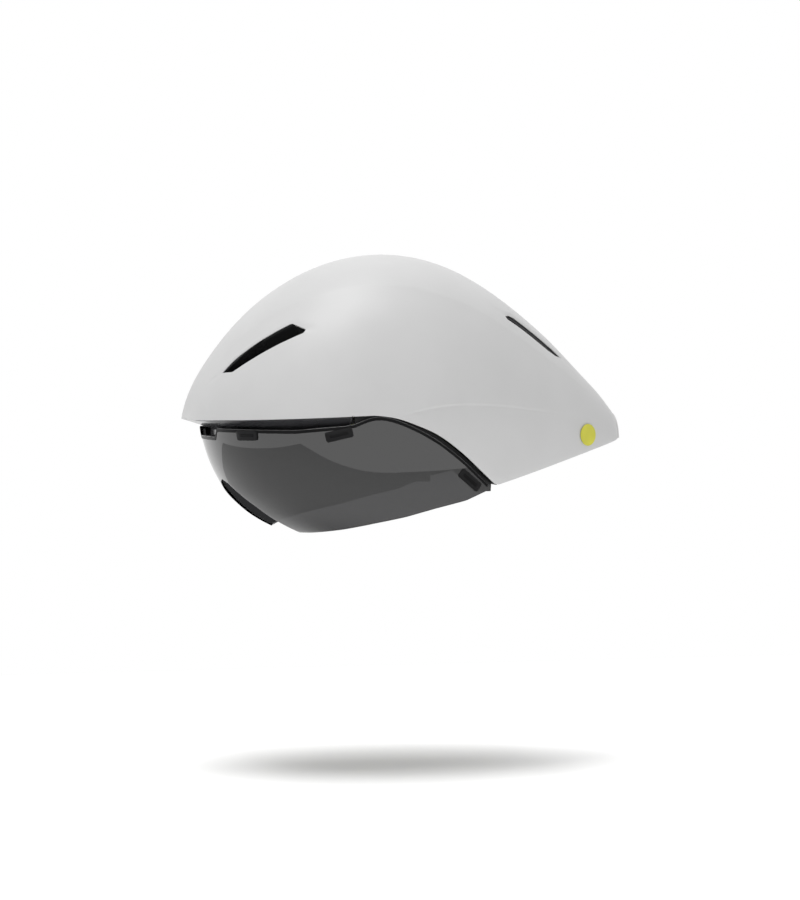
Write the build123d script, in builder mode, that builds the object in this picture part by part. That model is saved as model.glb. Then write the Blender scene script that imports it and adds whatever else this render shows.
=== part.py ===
"""Aero time trial helmet with a magnetic wraparound shield, slip liner, dial fit and chin straps.

Millimetres. The front faces -Y, up is +Z and the wearer's left is +X.
The origin lies on the middle plane, on the level of the brow edge, at the centre of the plan.
"""
from build123d import *
import math
import os

os.makedirs("parts", exist_ok=True)

# Whole helmet
shell_front = 126.0  # origin forward to the brow tip
shell_rear = 187.0  # origin back to the end of the tail
crown_height = 117.7  # brow level up to the top of the crown
half_width = 105.0  # middle plane out to the widest point
waist_drop = 17.0  # fall of the line of greatest width, from the brow to the tail
depth_share = 1.1  # how much deeper a section is below its waist than it is high above it
section_power = 2.15  # squareness of a cross section, where 2 is an ellipse

# Lower edge of the shell, seen from the side
brow_edge = 0.7  # height of the edge at the brow tip
arch_height = 5.8  # height of the edge where the arch starts
arch_start = 17.0  # origin forward to the start of the arch
skirt_reach = 73.7  # origin back to the lowest point of the side wall
skirt_drop = 43.6  # brow level down to that point
tail_drop = 13.2  # brow level down to the underside of the tail end

# Walls and running gaps
shell_wall = 1.5
foam_gap = 0.3  # between the shell and the foam, and round the pieces that sit in the foam
edge_gap = 0.5  # between the trims, the foam and the shell's lower edge
seat_gap = 0.3  # between a piece and what it is seated on
running_gap = 0.08  # radial gap round a turning shaft
slide_gap = 0.25  # beside a piece that slides
magnet_gap = seat_gap / 3  # under a magnet in its pocket
overshoot = 1.0  # of a cutter past the face that it opens

# Overruns that let a cut pass right through
overrun = 14.0
reach = 240.0  # further than the helmet reaches any way

# Stations from brow to tail: place along the helmet, crest height, half width and waist drop
station_shares = (
    (-1.0125, 0.020, 0.120, 0.12),
    (-0.993, 0.078, 0.290, 0.12),
    (-0.968, 0.181, 0.365, 0.12),
    (-0.921, 0.290, 0.437, 0.12),
    (-0.837, 0.419, 0.595, 0.12),
    (-0.714, 0.578, 0.752, 0.12),
    (-0.556, 0.735, 0.886, 0.12),
    (-0.357, 0.873, 0.967, 0.12),
    (-0.143, 0.964, 1.000, 0.12),
    (0.053, 1.000, 1.000, 0.18),
    (0.187, 0.985, 0.976, 0.24),
    (0.321, 0.923, 0.924, 0.35),
    (0.455, 0.813, 0.843, 0.47),
    (0.588, 0.665, 0.729, 0.59),
    (0.722, 0.487, 0.590, 0.71),
    (0.845, 0.294, 0.448, 0.82),
    (0.928, 0.160, 0.343, 0.94),
    (0.965, 0.090, 0.281, 0.97),
    (0.987, 0.050, 0.208, 1.00),
    (1.000, 0.018, 0.124, 1.00),
)
section_points = 24  # points round a whole cross section
full_turn = 360.0
right_angle = 90.0

# Arch of the lower edge: share of its run back, share of its fall, share of the lens gap
arch_shares = (
    (0.0, 0.0, 0.22),
    (0.179, 0.049, 0.26),
    (0.32, 0.136, 0.50),
    (0.474, 0.255, 0.85),
    (0.625, 0.431, 1.0),
    (0.75, 0.609, 1.0),
    (0.884, 0.826, 1.0),
    (1.0, 1.0, 1.0),
)


def along(share, inset=0.0):
    """Place along the helmet of a share of its front or rear length."""
    return share * ((shell_rear if share > 0 else shell_front) - inset)


def rounded(angle, power, side, up):
    """Point of a superellipse with half axes side and up, at an angle from the side axis."""
    cosine = math.cos(math.radians(angle))
    sine = math.sin(math.radians(angle))
    x = side * math.copysign(abs(cosine) ** (2 / power), cosine)
    y = up * math.copysign(abs(sine) ** (2 / power), sine)
    return x, y


def slope_at(rows, index, column):
    """Slope of a table's column at a row, from its neighbours."""
    low = rows[max(index - 1, 0)]
    high = rows[min(index + 1, len(rows) - 1)]
    return (high[column] - low[column]) / (high[0] - low[0])


def table_value(rows, place, column):
    """Value of a table's column at a place in its first column, on a smooth curve through its rows."""
    index = 0
    while index < len(rows) - 2 and place > rows[index + 1][0]:
        index += 1
    low, high = rows[index], rows[index + 1]
    run = high[0] - low[0]
    part = min(max((place - low[0]) / run, 0), 1)
    ease = part * part * (3 - 2 * part)
    start = run * slope_at(rows, index, column) * part * (1 - part) ** 2
    finish = run * slope_at(rows, index + 1, column) * part * part * (part - 1)
    return low[column] + ease * (high[column] - low[column]) + start + finish


def station(y):
    """Rows of the station table blended at y: rise of the crest over the waist, width and waist."""
    share = y / (shell_rear if y > 0 else shell_front)
    waist = -table_value(station_shares, share, 3) * waist_drop
    rise = table_value(station_shares, share, 1) * crown_height - waist
    return rise, table_value(station_shares, share, 2) * half_width, waist


def wall_x(y, inset=0.0, level=None):
    """Half width of the shell's side at y on a level, or on the waist, taken in by inset."""
    rise, width, waist = station(y)
    if level is None:
        return width - inset
    height = level - waist if level > waist else (waist - level) / depth_share
    return width * (1 - (height / rise) ** section_power) ** (1 / section_power) - inset


def dome(inset):
    """Solid inside the shell's surface, with every station shrunk by inset, closed below."""
    sections = []
    for place, crest_share, width_share, waist_share in station_shares:
        width = width_share * (half_width - inset)
        waist = -waist_share * waist_drop
        rise = crest_share * (crown_height - inset) - waist
        ring = []
        for step in range(section_points):
            x, z = rounded(full_turn * step / section_points - right_angle, section_power, width, rise)
            ring.append(Vector(x, waist + (z if z > 0 else depth_share * z)))
        knots = [step / section_points for step in range(section_points + 1)]
        with BuildSketch(Plane.XZ.offset(-along(place, inset))) as section:
            with BuildLine():
                add(Edge.make_spline(ring, periodic=True, parameters=knots))
            make_face()
        sections.append(section.sketch)
    with BuildPart() as body:
        loft(sections=sections)
    return body.part


def arch_point(run_share, fall_share, lift=0.0, lead=0.0):
    """Point of the arch in the side view, lifted and moved back."""
    y = -arch_start + run_share * (arch_start + skirt_reach) + lead
    z = arch_height - fall_share * (arch_height + skirt_drop) + lift
    return y, z


def edge_region(lift, lead=0.0):
    """Side view of all that is above the shell's lower edge, with the edge lifted and moved back."""
    brow = (-shell_front - overrun, brow_edge + lift)
    arch = [arch_point(run, fall, lift, lead) for run, fall, gap in arch_shares]
    slope = (skirt_drop - tail_drop) / (shell_rear - skirt_reach)
    tail = (shell_rear + overrun, lift - tail_drop + slope * overrun)
    with BuildSketch(Plane.YZ) as region:
        with BuildLine():
            Line(brow, arch[0])
            Spline(*arch)
            Line(arch[-1], tail)
            Polyline(tail, (tail[0], reach), (brow[0], reach), brow)
        make_face()
    return region.sketch


def strip(outer, inner, level):
    """Flat face between two curves that run the same way, each through its points."""
    with BuildSketch(Plane.XY.offset(level)) as face:
        with BuildLine():
            Spline(*outer)
            Line(outer[-1], inner[-1])
            Spline(*inner[::-1])
            Line(inner[0], outer[0])
        make_face()
    return face.sketch


def ribbon(path, thickness, level):
    """Flat face of even thickness along a path of points in plan."""
    sides = ([], [])
    for index, point in enumerate(path):
        before = path[max(index - 1, 0)]
        after = path[min(index + 1, len(path) - 1)]
        run = math.hypot(after[0] - before[0], after[1] - before[1])
        normal = ((after[1] - before[1]) / run, (before[0] - after[0]) / run)
        for side, share in zip(sides, (0.5, -0.5)):
            offset_by = share * thickness
            side.append((point[0] + offset_by * normal[0], point[1] + offset_by * normal[1]))
    return strip(*sides, level)


def both(solid):
    """A solid of the left side and its mirror image on the right."""
    return [solid, mirror(solid, about=Plane.YZ)]


def seat_plane(surface, u, v, turn=0.0):
    """Plane that touches a surface of two values, facing outwards, its long axis along the first."""
    here = Vector(*surface(u, v))
    along_u = (Vector(*surface(u + seat_step, v)) - Vector(*surface(u - seat_step, v))).normalized()
    along_v = (Vector(*surface(u, v + seat_step)) - Vector(*surface(u, v - seat_step))).normalized()
    out = along_u.cross(along_v)
    if out.dot(Vector(here.X, here.Y, 0)) < 0:
        out = -out
    turned = along_u * math.cos(math.radians(turn)) + out.cross(along_u) * math.sin(math.radians(turn))
    return Plane(origin=here, x_dir=turned, z_dir=out)


def block(plane, sunk, size):
    """Block with its outer face sunk under a plane: length, width and thickness."""
    with BuildPart(plane.offset(-sunk)) as body:
        Box(*size, align=(Align.CENTER, Align.CENTER, Align.MAX))
    return body.part


def box(low, high):
    """Block between two corners."""
    middle = [(first + second) / 2 for first, second in zip(low, high)]
    with BuildPart(Plane(origin=middle)) as body:
        Box(*[second - first for first, second in zip(low, high)])
    return body.part


def pin(x, z, radius, start, end):
    """Round pin along Y at x and z, from start to end."""
    with BuildPart() as body:
        with BuildSketch(Plane.XZ.offset(-start)):
            with Locations((x, z)):
                Circle(radius)
        extrude(amount=start - end)
    return body.part


seat_step = 0.01  # step for measuring the slope of a surface

# Head form: the hollow for the head, round in plan
head_shift = 5.0  # origin back to the centre of the head
head_length = 100.0  # half the length of the hollow
head_width = 80.0  # half its width
head_height = 88.0  # brow level up to its top
form_power = 2.15
form_shares = (-0.75, -0.4, 0.0, 0.36, 0.6, 0.79, 0.91, 0.975, 0.995)


def head_form(gap):
    """Solid of the head form, smaller by gap all round, carried straight down below the brow."""
    sections = []
    for share in form_shares:
        size = (1 - max(share, 0.0) ** form_power) ** (1 / form_power)
        with BuildSketch(Plane.XY.offset(share * (head_height - gap))) as section:
            with Locations((0, head_shift)):
                Ellipse(size * (head_width - gap), size * (head_length - gap))
        sections.append(section.sketch)
    with BuildPart() as body:
        loft(sections=sections)
    return body.part


# Vent slots: a leaf outline on a plane that lies on the shell, cut straight in or slanting
front_vent_length = 69.0
front_vent_width = 12.0
front_vent_place = (58.0, -84.0, 53.5)
front_vent_run = (0.421, 0.731, 0.536)
front_vent_out = (0.475, -0.681, 0.556)
front_vent_shares = (
    (-0.53, 0.34),
    (-0.28, 0.44),
    (0.0, 0.50),
    (0.34, 0.51),
    (0.46, -0.31),
    (0.18, -0.48),
    (-0.06, -0.475),
    (-0.31, -0.23),
    (-0.50, 0.12),
)
front_duct_depth = 20.0
front_channel_depth = 48.0
rear_vent_length = 60.0
rear_vent_width = 6.0
rear_vent_place = (47.0, 113.5, 57.5)
rear_vent_run = (-0.265, 0.804, -0.531)
rear_vent_out = (0.56, 0.577, 0.593)
rear_vent_shares = (
    (-0.49, 0.0),
    (-0.38, 0.53),
    (-0.28, 0.55),
    (-0.09, 0.22),
    (0.16, 0.18),
    (0.38, 0.07),
    (0.50, 0.0),
    (0.35, -0.46),
    (0.15, -0.48),
    (-0.10, -0.43),
    (-0.34, -0.35),
)
rear_vent_slant = (-0.25, -0.9, -0.36)
rear_duct_depth = 14.0
rear_channel_depth = 62.0
duct_wall = 1.2


def vent(place, run, out, shares, size, grow, depth, slant=None):
    """Prism of a vent's outline, grown by grow, from outside the shell inwards by depth."""
    way = (Vector(*slant) if slant else -Vector(*out)).normalized()
    plane = Plane(origin=Vector(*place) - way * overrun, x_dir=run, z_dir=out)
    with BuildPart() as prism:
        with BuildSketch(plane):
            with BuildLine():
                Polyline(*[(size[0] * u, size[1] * w) for u, w in shares], close=True)
            make_face()
            if grow:
                offset(amount=grow)
        extrude(amount=depth + overrun, dir=way)
    return prism.part


def front_vent(grow, depth):
    """Prism of the left front vent."""
    size = (front_vent_length, front_vent_width)
    return vent(front_vent_place, front_vent_run, front_vent_out, front_vent_shares, size, grow, depth)


def rear_vent(grow, depth):
    """Prism of the left rear vent, slanting forwards into the head form."""
    size = (rear_vent_length, rear_vent_width)
    return vent(
        rear_vent_place, rear_vent_run, rear_vent_out, rear_vent_shares, size, grow, depth, rear_vent_slant
    )


# Outer shell
with BuildPart() as outer_shell:
    add(dome(0.0))
    extrude(edge_region(0.0), amount=reach, both=True, mode=Mode.INTERSECT)
    add(dome(shell_wall), mode=Mode.SUBTRACT)
    add([*both(front_vent(0.0, overrun)), *both(rear_vent(0.0, overrun))], mode=Mode.SUBTRACT)

# Vent ducts: black tubes that line the slots in the foam
dome_foam = dome(shell_wall + foam_gap)

with BuildPart() as front_vent_duct_left:
    add(dome_foam)
    add(front_vent(duct_wall, front_duct_depth), mode=Mode.INTERSECT)
    add(front_vent(0.0, front_duct_depth + overrun), mode=Mode.SUBTRACT)

with BuildPart() as rear_vent_duct_left:
    add(dome_foam)
    add(rear_vent(duct_wall, rear_duct_depth), mode=Mode.INTERSECT)
    add(rear_vent(0.0, rear_duct_depth + overrun), mode=Mode.SUBTRACT)

with BuildPart() as front_vent_duct_right:
    mirror(front_vent_duct_left.part, about=Plane.YZ)

with BuildPart() as rear_vent_duct_right:
    mirror(rear_vent_duct_left.part, about=Plane.YZ)

# Fit system places, shared with the foam
fit_level = -23.5  # height of the dial's axis
pocket_wall = 16.0  # shell's surface in to the wall of the nape pocket
pocket_top = -8.0
pocket_front = 10.0  # place where the pocket starts, under the head form
pocket_back = 144.5
pocket_steps = 8
stem_half = 9.0
stem_front = 98.8
stem_thickness = 2.6
stem_low = 2.3
stem_high = 30.0
guide_half = 12.0
guide_front = 98.6
guide_depth = 6.4
guide_back = guide_front + guide_depth
guide_low = 4.0
guide_high = 36.0

# Plugs that hold the anchors in the foam
plug_radius = 2.2
plug_height = 12.0
plug_low = -8.3  # top of the anchor bodies, where the plugs start

band_centre = 10.0  # origin back to the centre of the fit bands
band_side = 79.0
band_end = 64.0  # angle from the side at which the bands meet the racks
rack_front = 100.1
rack_depth = 2.9
rack_back = rack_front + rack_depth
band_lead = 0.67  # racks' front forward to the middle of the bands' ends
band_length = (rack_front - band_lead - band_centre) / math.sin(math.radians(band_end))
band_thickness = 1.2
band_low = -28.0
band_high = -19.0


def band_point(angle, out=0.0):
    """Point of the fit band's curve at an angle from the side, moved outwards."""
    cosine = math.cos(math.radians(angle))
    sine = math.sin(math.radians(angle))
    slant = math.hypot(cosine / band_side, sine / band_length)
    x = band_side * cosine + out * cosine / band_side / slant
    y = band_centre + band_length * sine + out * sine / band_length / slant
    return x, y


def band_path(start, end, count, out=0.0):
    """Points along the fit band's curve between two angles."""
    return [band_point(start + (end - start) * step / (count - 1), out) for step in range(count)]




def band_angle(place):
    """Angle from the side at which the fit band's curve is at a place back from the origin."""
    return math.degrees(math.asin((place - band_centre) / band_length))


anchor_front = 37.93
anchor_back = 49.99
anchor_start = band_angle(anchor_front)
anchor_end = band_angle(anchor_back)
anchor_inner = 0.9
anchor_outer = 6.5
anchor_plug_out = 4.6
anchor_plug_place = 44.03
anchor_plug_angle = band_angle(anchor_plug_place)

strap_inset = 17.1  # shell's surface in to the middle of the straps
strap_thickness = 1.4
strap_low = -22.0
strap_high = -10.0
front_anchor = (29.6, 35.6)  # from and to, along the helmet
rear_anchor = (86.4, 92.4)
strap_anchor_thickness = 5.0
strap_anchor_inset = 18.9


def strap_path(start, end, inset=strap_inset):
    """Points along the pocket's wall between two places, taken in from the shell."""
    count = 4
    places = [start + (end - start) * step / (count - 1) for step in range(count)]
    return [(wall_x(y, inset), y) for y in places]


def plug(point, grow=0.0):
    """Upright plug that goes up into the foam, grown by grow."""
    with BuildPart(Plane(origin=(point[0], point[1], plug_low))) as body:
        Cylinder(plug_radius + grow, plug_height + grow, align=(Align.CENTER, Align.CENTER, Align.MIN))
    return body.part


def middle(pair, inset):
    """Middle of a run along the pocket's wall."""
    y = sum(pair) / len(pair)
    return wall_x(y, inset), y


plug_points = (
    band_point(anchor_plug_angle, anchor_plug_out),
    middle(front_anchor, strap_anchor_inset),
    middle(rear_anchor, strap_anchor_inset),
)
guide_hole = box(
    (-guide_half - foam_gap, guide_front - overrun, pocket_top - overrun),
    (guide_half + foam_gap, guide_back + foam_gap, guide_high + foam_gap),
)

# Foam liner with the head form, the nape pocket, the vent channels and the holes for guide and plugs
foam_lift = 0.3  # foam's lower edge above the shell's


def pocket_outline():
    """Plan of the nape pocket: its walls keep an even distance from the shell."""
    span = pocket_back - pocket_front
    places = [pocket_front + span * step / pocket_steps for step in range(pocket_steps + 1)]
    right = [(wall_x(y, pocket_wall), y) for y in places]
    return strip(right, [(-x, y) for x, y in right], pocket_top)


with BuildPart() as eps_liner:
    add(dome_foam)
    extrude(edge_region(foam_lift), amount=reach, both=True, mode=Mode.INTERSECT)
    add(head_form(0.0), mode=Mode.SUBTRACT)
    extrude(pocket_outline(), amount=-reach, mode=Mode.SUBTRACT)
    add(
        [
            *both(front_vent(duct_wall + foam_gap, front_channel_depth)),
            *both(rear_vent(duct_wall + foam_gap, rear_channel_depth)),
            guide_hole,
        ],
        mode=Mode.SUBTRACT,
    )
    for point in plug_points:
        add(both(plug(point, foam_gap)), mode=Mode.SUBTRACT)

# Brow bezel: a bevel that runs in from the shell's edge, with a straight rim below
bezel_power = 2.3
bezel_top_gap = 0.2
bezel_front = 107.0
bezel_side = 96.0
bezel_bend = -5.5  # height where the bevel meets the rim
bezel_low = -12.0
bezel_wall = 3.5
bezel_end = -33.0  # place where the bezel stops
bevel_angles = tuple(range(0, 181, 15))
edge_slope = (arch_height - brow_edge) / (shell_front + overrun - arch_start)


def edge_level(y):
    """Height of the straight part of the shell's lower edge."""
    return arch_height + edge_slope * (y + arch_start)


def bevel_top(angle, inset):
    """Point of the bezel's upper outline, just under the shell's edge."""
    x, y = rounded(angle, bezel_power, 1.0, shell_front - inset)
    side = math.copysign(wall_x(-y, inset), x) if abs(x) > edge_slope * seat_gap else 0.0
    return side, -y, edge_level(-y) - bezel_top_gap


def bevel_foot(angle, inset):
    """Point of the outline where the bevel meets the rim."""
    x, y = rounded(angle, bezel_power, bezel_side - inset, bezel_front - inset)
    return x, -y, bezel_bend


def bevel(angle, share):
    """Point on the bevel between its two outlines."""
    top = Vector(*bevel_top(angle, edge_gap))
    return tuple(top + (Vector(*bevel_foot(angle, 0.0)) - top) * share)


def bevel_body(inset):
    """Solid inside the bevel and the rim, taken in by inset."""
    tilt = Plane(
        origin=(0, -arch_start, arch_height - bezel_top_gap),
        x_dir=(1, 0, 0),
        z_dir=(0, -math.sin(math.atan(edge_slope)), math.cos(math.atan(edge_slope))),
    )
    with BuildSketch(tilt) as upper:
        with BuildLine():
            points = [tilt.to_local_coords(Vector(*bevel_top(a, edge_gap + inset))) for a in bevel_angles]
            Spline(*[(point.X, point.Y) for point in points])
            Line((points[-1].X, points[-1].Y), (points[0].X, points[0].Y))
        make_face()
    with BuildSketch(Plane.XY.offset(bezel_bend)) as lower:
        with BuildLine():
            points = [bevel_foot(a, inset) for a in bevel_angles]
            Spline(*[point[:2] for point in points])
            Line(points[-1][:2], points[0][:2])
        make_face()
    with BuildPart() as body:
        loft(sections=[upper.sketch, lower.sketch], ruled=True)
        extrude(lower.sketch, amount=bezel_low - bezel_bend)
    return body.part


# Magnetic seats in the bevel and the arch trims, and the holders on the shield
seat_size = (21.0, 6.5, 2.0)
seat_magnet = (14.0, 4.0, 1.0)
holder_size = (21.0, 6.5, 2.6)
holder_magnet = (14.0, 4.0, 1.2)
bevel_seats = ((53.5, 0.58), (19.1, 0.52))  # angle round the bevel, share of the way down it
trim_seat = (56.0, -39.7)  # place and height
trim_seat_turn = -41.0
seat_sink = 0.6
trim_inset = 8.8
trim_wall = 3.5


def trim_side(y, z):
    """Point of the arch trim's outer face."""
    return wall_x(y, trim_inset, z), y, z


seat_planes = [seat_plane(bevel, angle, share) for angle, share in bevel_seats]
trim_plane = seat_plane(trim_side, *trim_seat, trim_seat_turn)


def grown(size, amount):
    """Size of a block grown by an amount all round."""
    return [value + 2 * amount for value in size]


with BuildPart() as brow_bezel:
    add(bevel_body(0.0))
    add(bevel_body(bezel_wall), mode=Mode.SUBTRACT)
    add(box((-reach, bezel_end, -reach), (reach, reach, reach)), mode=Mode.SUBTRACT)
    for plane in seat_planes:
        room = (*grown(seat_size[:2], seat_gap), reach)
        add(both(block(plane, seat_sink - reach / 2, room)), mode=Mode.SUBTRACT)

# Arch trims: a black band under the shell's edge, from the bezel to the lowest point
trim_start = -29.5
trim_end = 72.0
trim_low = -48.0
trim_high = 6.0
trim_lead = -6.0  # forward shift and drop of the band's lower curve
trim_fall = -11.0
trim_steps = 9


def trim_face(level):
    """Plan of the arch trim on a level."""
    places = [trim_start + (trim_end - trim_start) * step / trim_steps for step in range(trim_steps + 1)]
    inner = [(wall_x(y, trim_inset + trim_wall, level), y) for y in places]
    return strip([(wall_x(y, trim_inset, level), y) for y in places], inner, level)


with BuildPart() as arch_trim_left:
    loft(sections=[trim_face(trim_low), trim_face((trim_low + trim_high) / 2), trim_face(trim_high)])
    extrude(edge_region(trim_fall, trim_lead), amount=reach, both=True, mode=Mode.INTERSECT)
    extrude(edge_region(0.0), amount=reach, both=True, mode=Mode.SUBTRACT)
    room = (*grown(seat_size[:2], seat_gap), reach + seat_size[2] + seat_gap)
    add(block(trim_plane, -reach, room), mode=Mode.SUBTRACT)

with BuildPart() as arch_trim_right:
    mirror(arch_trim_left.part, about=Plane.YZ)

seats = [(plane, seat_sink) for plane in seat_planes] + [(trim_plane, 0.0)]
with BuildPart() as magnet_seats:
    for plane, sunk in seats:
        room = (*grown(seat_magnet[:2], seat_gap), reach)
        pocket = block(plane, sunk + seat_size[2] - seat_magnet[2], room)
        with BuildPart(mode=Mode.PRIVATE) as seat:
            add(block(plane, sunk, seat_size))
            add(pocket, mode=Mode.SUBTRACT)
        add(both(seat.part))

with BuildPart() as helmet_magnets:
    for plane, sunk in seats:
        add(both(block(plane, sunk + seat_size[2] - seat_magnet[2] + magnet_gap, seat_magnet)))

# Shield lens: level shares of its drop, then forward and side shares
lens_front = 114.5
lens_inset = 0.7  # shell's widest point in to the lens's
lens_half = half_width - lens_inset
lens_drop = 82.0
lens_power = 2.3
lens_thickness = 2.0
lens_rows = (
    (-0.085, 1.0, 1.0),
    (0.085, 0.996, 0.997),
    (0.244, 0.969, 0.989),
    (0.390, 0.930, 0.976),
    (0.512, 0.885, 0.959),
    (0.610, 0.840, 0.940),
    (0.707, 0.777, 0.919),
    (0.805, 0.699, 0.887),
    (0.902, 0.594, 0.839),
    (1.0, 0.454, 0.767),
)
lens_rear_places = (22.0, 50.0, 85.0)
lens_closing = ((0.72, 114.0), (0.36, 128.0))  # share of the half width and place of the closing curve
lens_steps = 12
lens_gap = 4.5  # upright gap under the arch, as its share table scales it
lens_top_front = ((-125.0, -4.8), (-110.0, -4.3), (-70.0, -4.3), (-53.0, -2.6), (-37.0, -1.2), (-30.0, 0.2))
lens_bottom = (
    (85.0, -40.0),
    (71.0, -45.5),
    (51.0, -53.8),
    (28.0, -59.1),
    (7.0, -64.7),
    (-14.0, -68.9),
    (-34.0, -73.3),
    (-51.0, -76.5),
    (-62.0, -77.5),
    (-75.0, -78.0),
    (-120.0, -78.0),
)
nose_notch = (
    (0.0, -41.0),
    (12.0, -43.5),
    (22.6, -50.0),
    (33.0, -60.0),
    (39.0, -70.0),
    (45.0, -80.0),
    (48.0, -90.0),
)
top_notch = ((24.0, -10.4), (30.0, -2.0), (30.0, 10.0))


def lens_axes(level, inset):
    """Forward and side half axes of the lens on a level."""
    share = -level / lens_drop
    forward = table_value(lens_rows, share, 1) * lens_front - inset
    return forward, table_value(lens_rows, share, 2) * lens_half - inset


def lens_side(y, z):
    """Point of the lens's outer face, left side."""
    forward, side = lens_axes(z, 0.0)
    if y < 0:
        return side * (1 - (-y / forward) ** lens_power) ** (1 / lens_power), y, z
    return side * wall_x(y) / wall_x(0.0), y, z


def lens_ring(level, inset):
    """Points of the lens's closed plan on a level: rear side, front curve, other rear side, closing."""
    forward, side = lens_axes(level, inset)
    rear = [(side * wall_x(y) / wall_x(0.0), y) for y in lens_rear_places]
    closing = [(side * share, y) for share, y in lens_closing]
    front = []
    for step in range(lens_steps + 1):
        x, y = rounded(full_turn / 2 * step / lens_steps, lens_power, side, forward)
        front.append((x, -y))
    right = [(-x, y) for x, y in rear + closing[::1]]
    return [*closing[::-1], *rear[::-1], *front, *right]


def lens_body(inset):
    """Solid inside the lens's surface, taken in by inset."""
    guide = lens_ring(0.0, 0.0)
    legs = [math.dist(first, second) for first, second in zip(guide, guide[1:] + guide[:1])]
    knots = [sum(legs[:count]) / sum(legs) for count in range(len(legs) + 1)]
    sections = []
    for share, forward_share, side_share in lens_rows:
        level = -share * lens_drop
        with BuildSketch(Plane.XY.offset(level)) as section:
            with BuildLine():
                ring = [Vector(x, y) for x, y in lens_ring(level, inset)]
                add(Edge.make_spline(ring, periodic=True, parameters=knots))
            make_face()
        sections.append(section.sketch)
    with BuildPart() as body:
        loft(sections=sections)
    return body.part


with BuildPart() as shield_lens:
    add(lens_body(0.0))
    with BuildSketch(Plane.YZ) as side_view:
        with BuildLine():
            arch = [arch_point(run, fall, -lens_gap * gap) for run, fall, gap in arch_shares]
            Polyline(*lens_top_front)
            Spline(lens_top_front[-1], *arch)
            Line(arch[-1], lens_bottom[0])
            Polyline(*lens_bottom, lens_top_front[0])
        make_face()
    extrude(side_view.sketch, amount=reach, both=True, mode=Mode.INTERSECT)
    add(lens_body(lens_thickness), mode=Mode.SUBTRACT)
    with BuildSketch(Plane.XZ) as notches:
        for notch in (nose_notch, top_notch):
            mirrored_notch = [(-x, z) for x, z in notch[::-1]]
            with BuildLine():
                Polyline(*mirrored_notch, *[point for point in notch if point[0] > 0], close=True)
            make_face()
    extrude(notches.sketch, amount=reach, mode=Mode.SUBTRACT)

holder_gap = 1.3  # lens's inner face to the holder's middle, so that its ends clear the curve
holder_places = ((-100.0, -9.4, 0.0), (-43.5, -7.8, 0.0), (56.0, -39.7, -41.0))
holder_planes = [seat_plane(lens_side, y, z, turn) for y, z, turn in holder_places]
holder_sunk = lens_thickness + holder_gap

with BuildPart() as shield_magnet_holders:
    for plane in holder_planes:
        room = (*grown(holder_magnet[:2], seat_gap), reach)
        pocket = block(plane, holder_sunk + holder_size[2] - holder_magnet[2], room)
        with BuildPart(mode=Mode.PRIVATE) as holder:
            add(block(plane, holder_sunk, holder_size))
            add(pocket, mode=Mode.SUBTRACT)
        add(both(holder.part))

with BuildPart() as shield_magnets:
    for plane in holder_planes:
        depth = holder_sunk + holder_size[2] - holder_magnet[2] + magnet_gap
        add(both(block(plane, depth, holder_magnet)))

# Round plain disc on the left rear side, square to the shell where a line from the side meets it
disc_radius = 7.2
disc_thickness = 0.4
disc_place = (151.8, -10.7)
disc_gap = 0.4

side_line = Axis((half_width + overrun, *disc_place), (-1, 0, 0))
side_hits = outer_shell.part.find_intersection_points(side_line)
disc_point, disc_normal = max(side_hits, key=lambda hit: hit[0].X)

with BuildPart(Plane(origin=disc_point, z_dir=disc_normal).offset(disc_gap)) as rear_disc:
    Cylinder(disc_radius, disc_thickness, align=(Align.CENTER, Align.CENTER, Align.MIN))

# Slip liner and its comfort pads, which turn a little with the head
slip_gap = 1.6
slip_wall = 1.2
slip_low = 4.0
slip_notch_half = 18.0
slip_notch_top = 40.0
crown_slot = (26.0, 9.0)
crown_slot_places = ((-24.0, -52.0), (24.0, -52.0), (-30.0, 0.0), (30.0, 0.0), (-24.0, 52.0), (24.0, 52.0))
pad_gap = 0.3
pad_thickness = 4.0
pad_shell_out = slip_gap + slip_wall + pad_gap
brow_pad_end = -55.0
brow_pad_levels = (6.0, 28.0)
side_pad_run = (-10.0, 60.0)
side_pad_levels = (10.0, 34.0)
crown_pad_size = (44.0, 88.0)
crown_pad_round = 18.0

with BuildPart() as slip_liner:
    add(head_form(slip_gap))
    add(head_form(slip_gap + slip_wall), mode=Mode.SUBTRACT)
    add(box((-reach, -reach, -reach), (reach, reach, slip_low)), mode=Mode.SUBTRACT)
    add(box((-slip_notch_half, 0, -reach), (slip_notch_half, reach, slip_notch_top)), mode=Mode.SUBTRACT)
    with BuildSketch() as slots:
        for x, y in crown_slot_places:
            with Locations((x, y + head_shift)):
                SlotOverall(crown_slot[0], crown_slot[1], rotation=right_angle)
    extrude(slots.sketch, amount=reach, mode=Mode.SUBTRACT)
    add(
        [
            *both(front_vent(duct_wall + foam_gap, front_channel_depth)),
            *both(rear_vent(duct_wall + foam_gap, rear_channel_depth)),
        ],
        mode=Mode.SUBTRACT,
    )

with BuildPart() as pad_shell:
    add(head_form(pad_shell_out))
    add(head_form(pad_shell_out + pad_thickness), mode=Mode.SUBTRACT)

with BuildPart() as brow_pad:
    add(pad_shell.part)
    add(
        box((-reach, -reach, brow_pad_levels[0]), (reach, brow_pad_end, brow_pad_levels[1])),
        mode=Mode.INTERSECT,
    )

with BuildPart() as side_pad_left:
    add(pad_shell.part)
    add(
        box((0, side_pad_run[0], side_pad_levels[0]), (reach, side_pad_run[1], side_pad_levels[1])),
        mode=Mode.INTERSECT,
    )

with BuildPart() as side_pad_right:
    mirror(side_pad_left.part, about=Plane.YZ)

with BuildPart() as crown_pad:
    add(pad_shell.part)
    with BuildSketch() as crown_outline:
        with Locations((0, head_shift)):
            RectangleRounded(*crown_pad_size, crown_pad_round)
    extrude(crown_outline.sketch, amount=reach, mode=Mode.INTERSECT)

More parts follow.
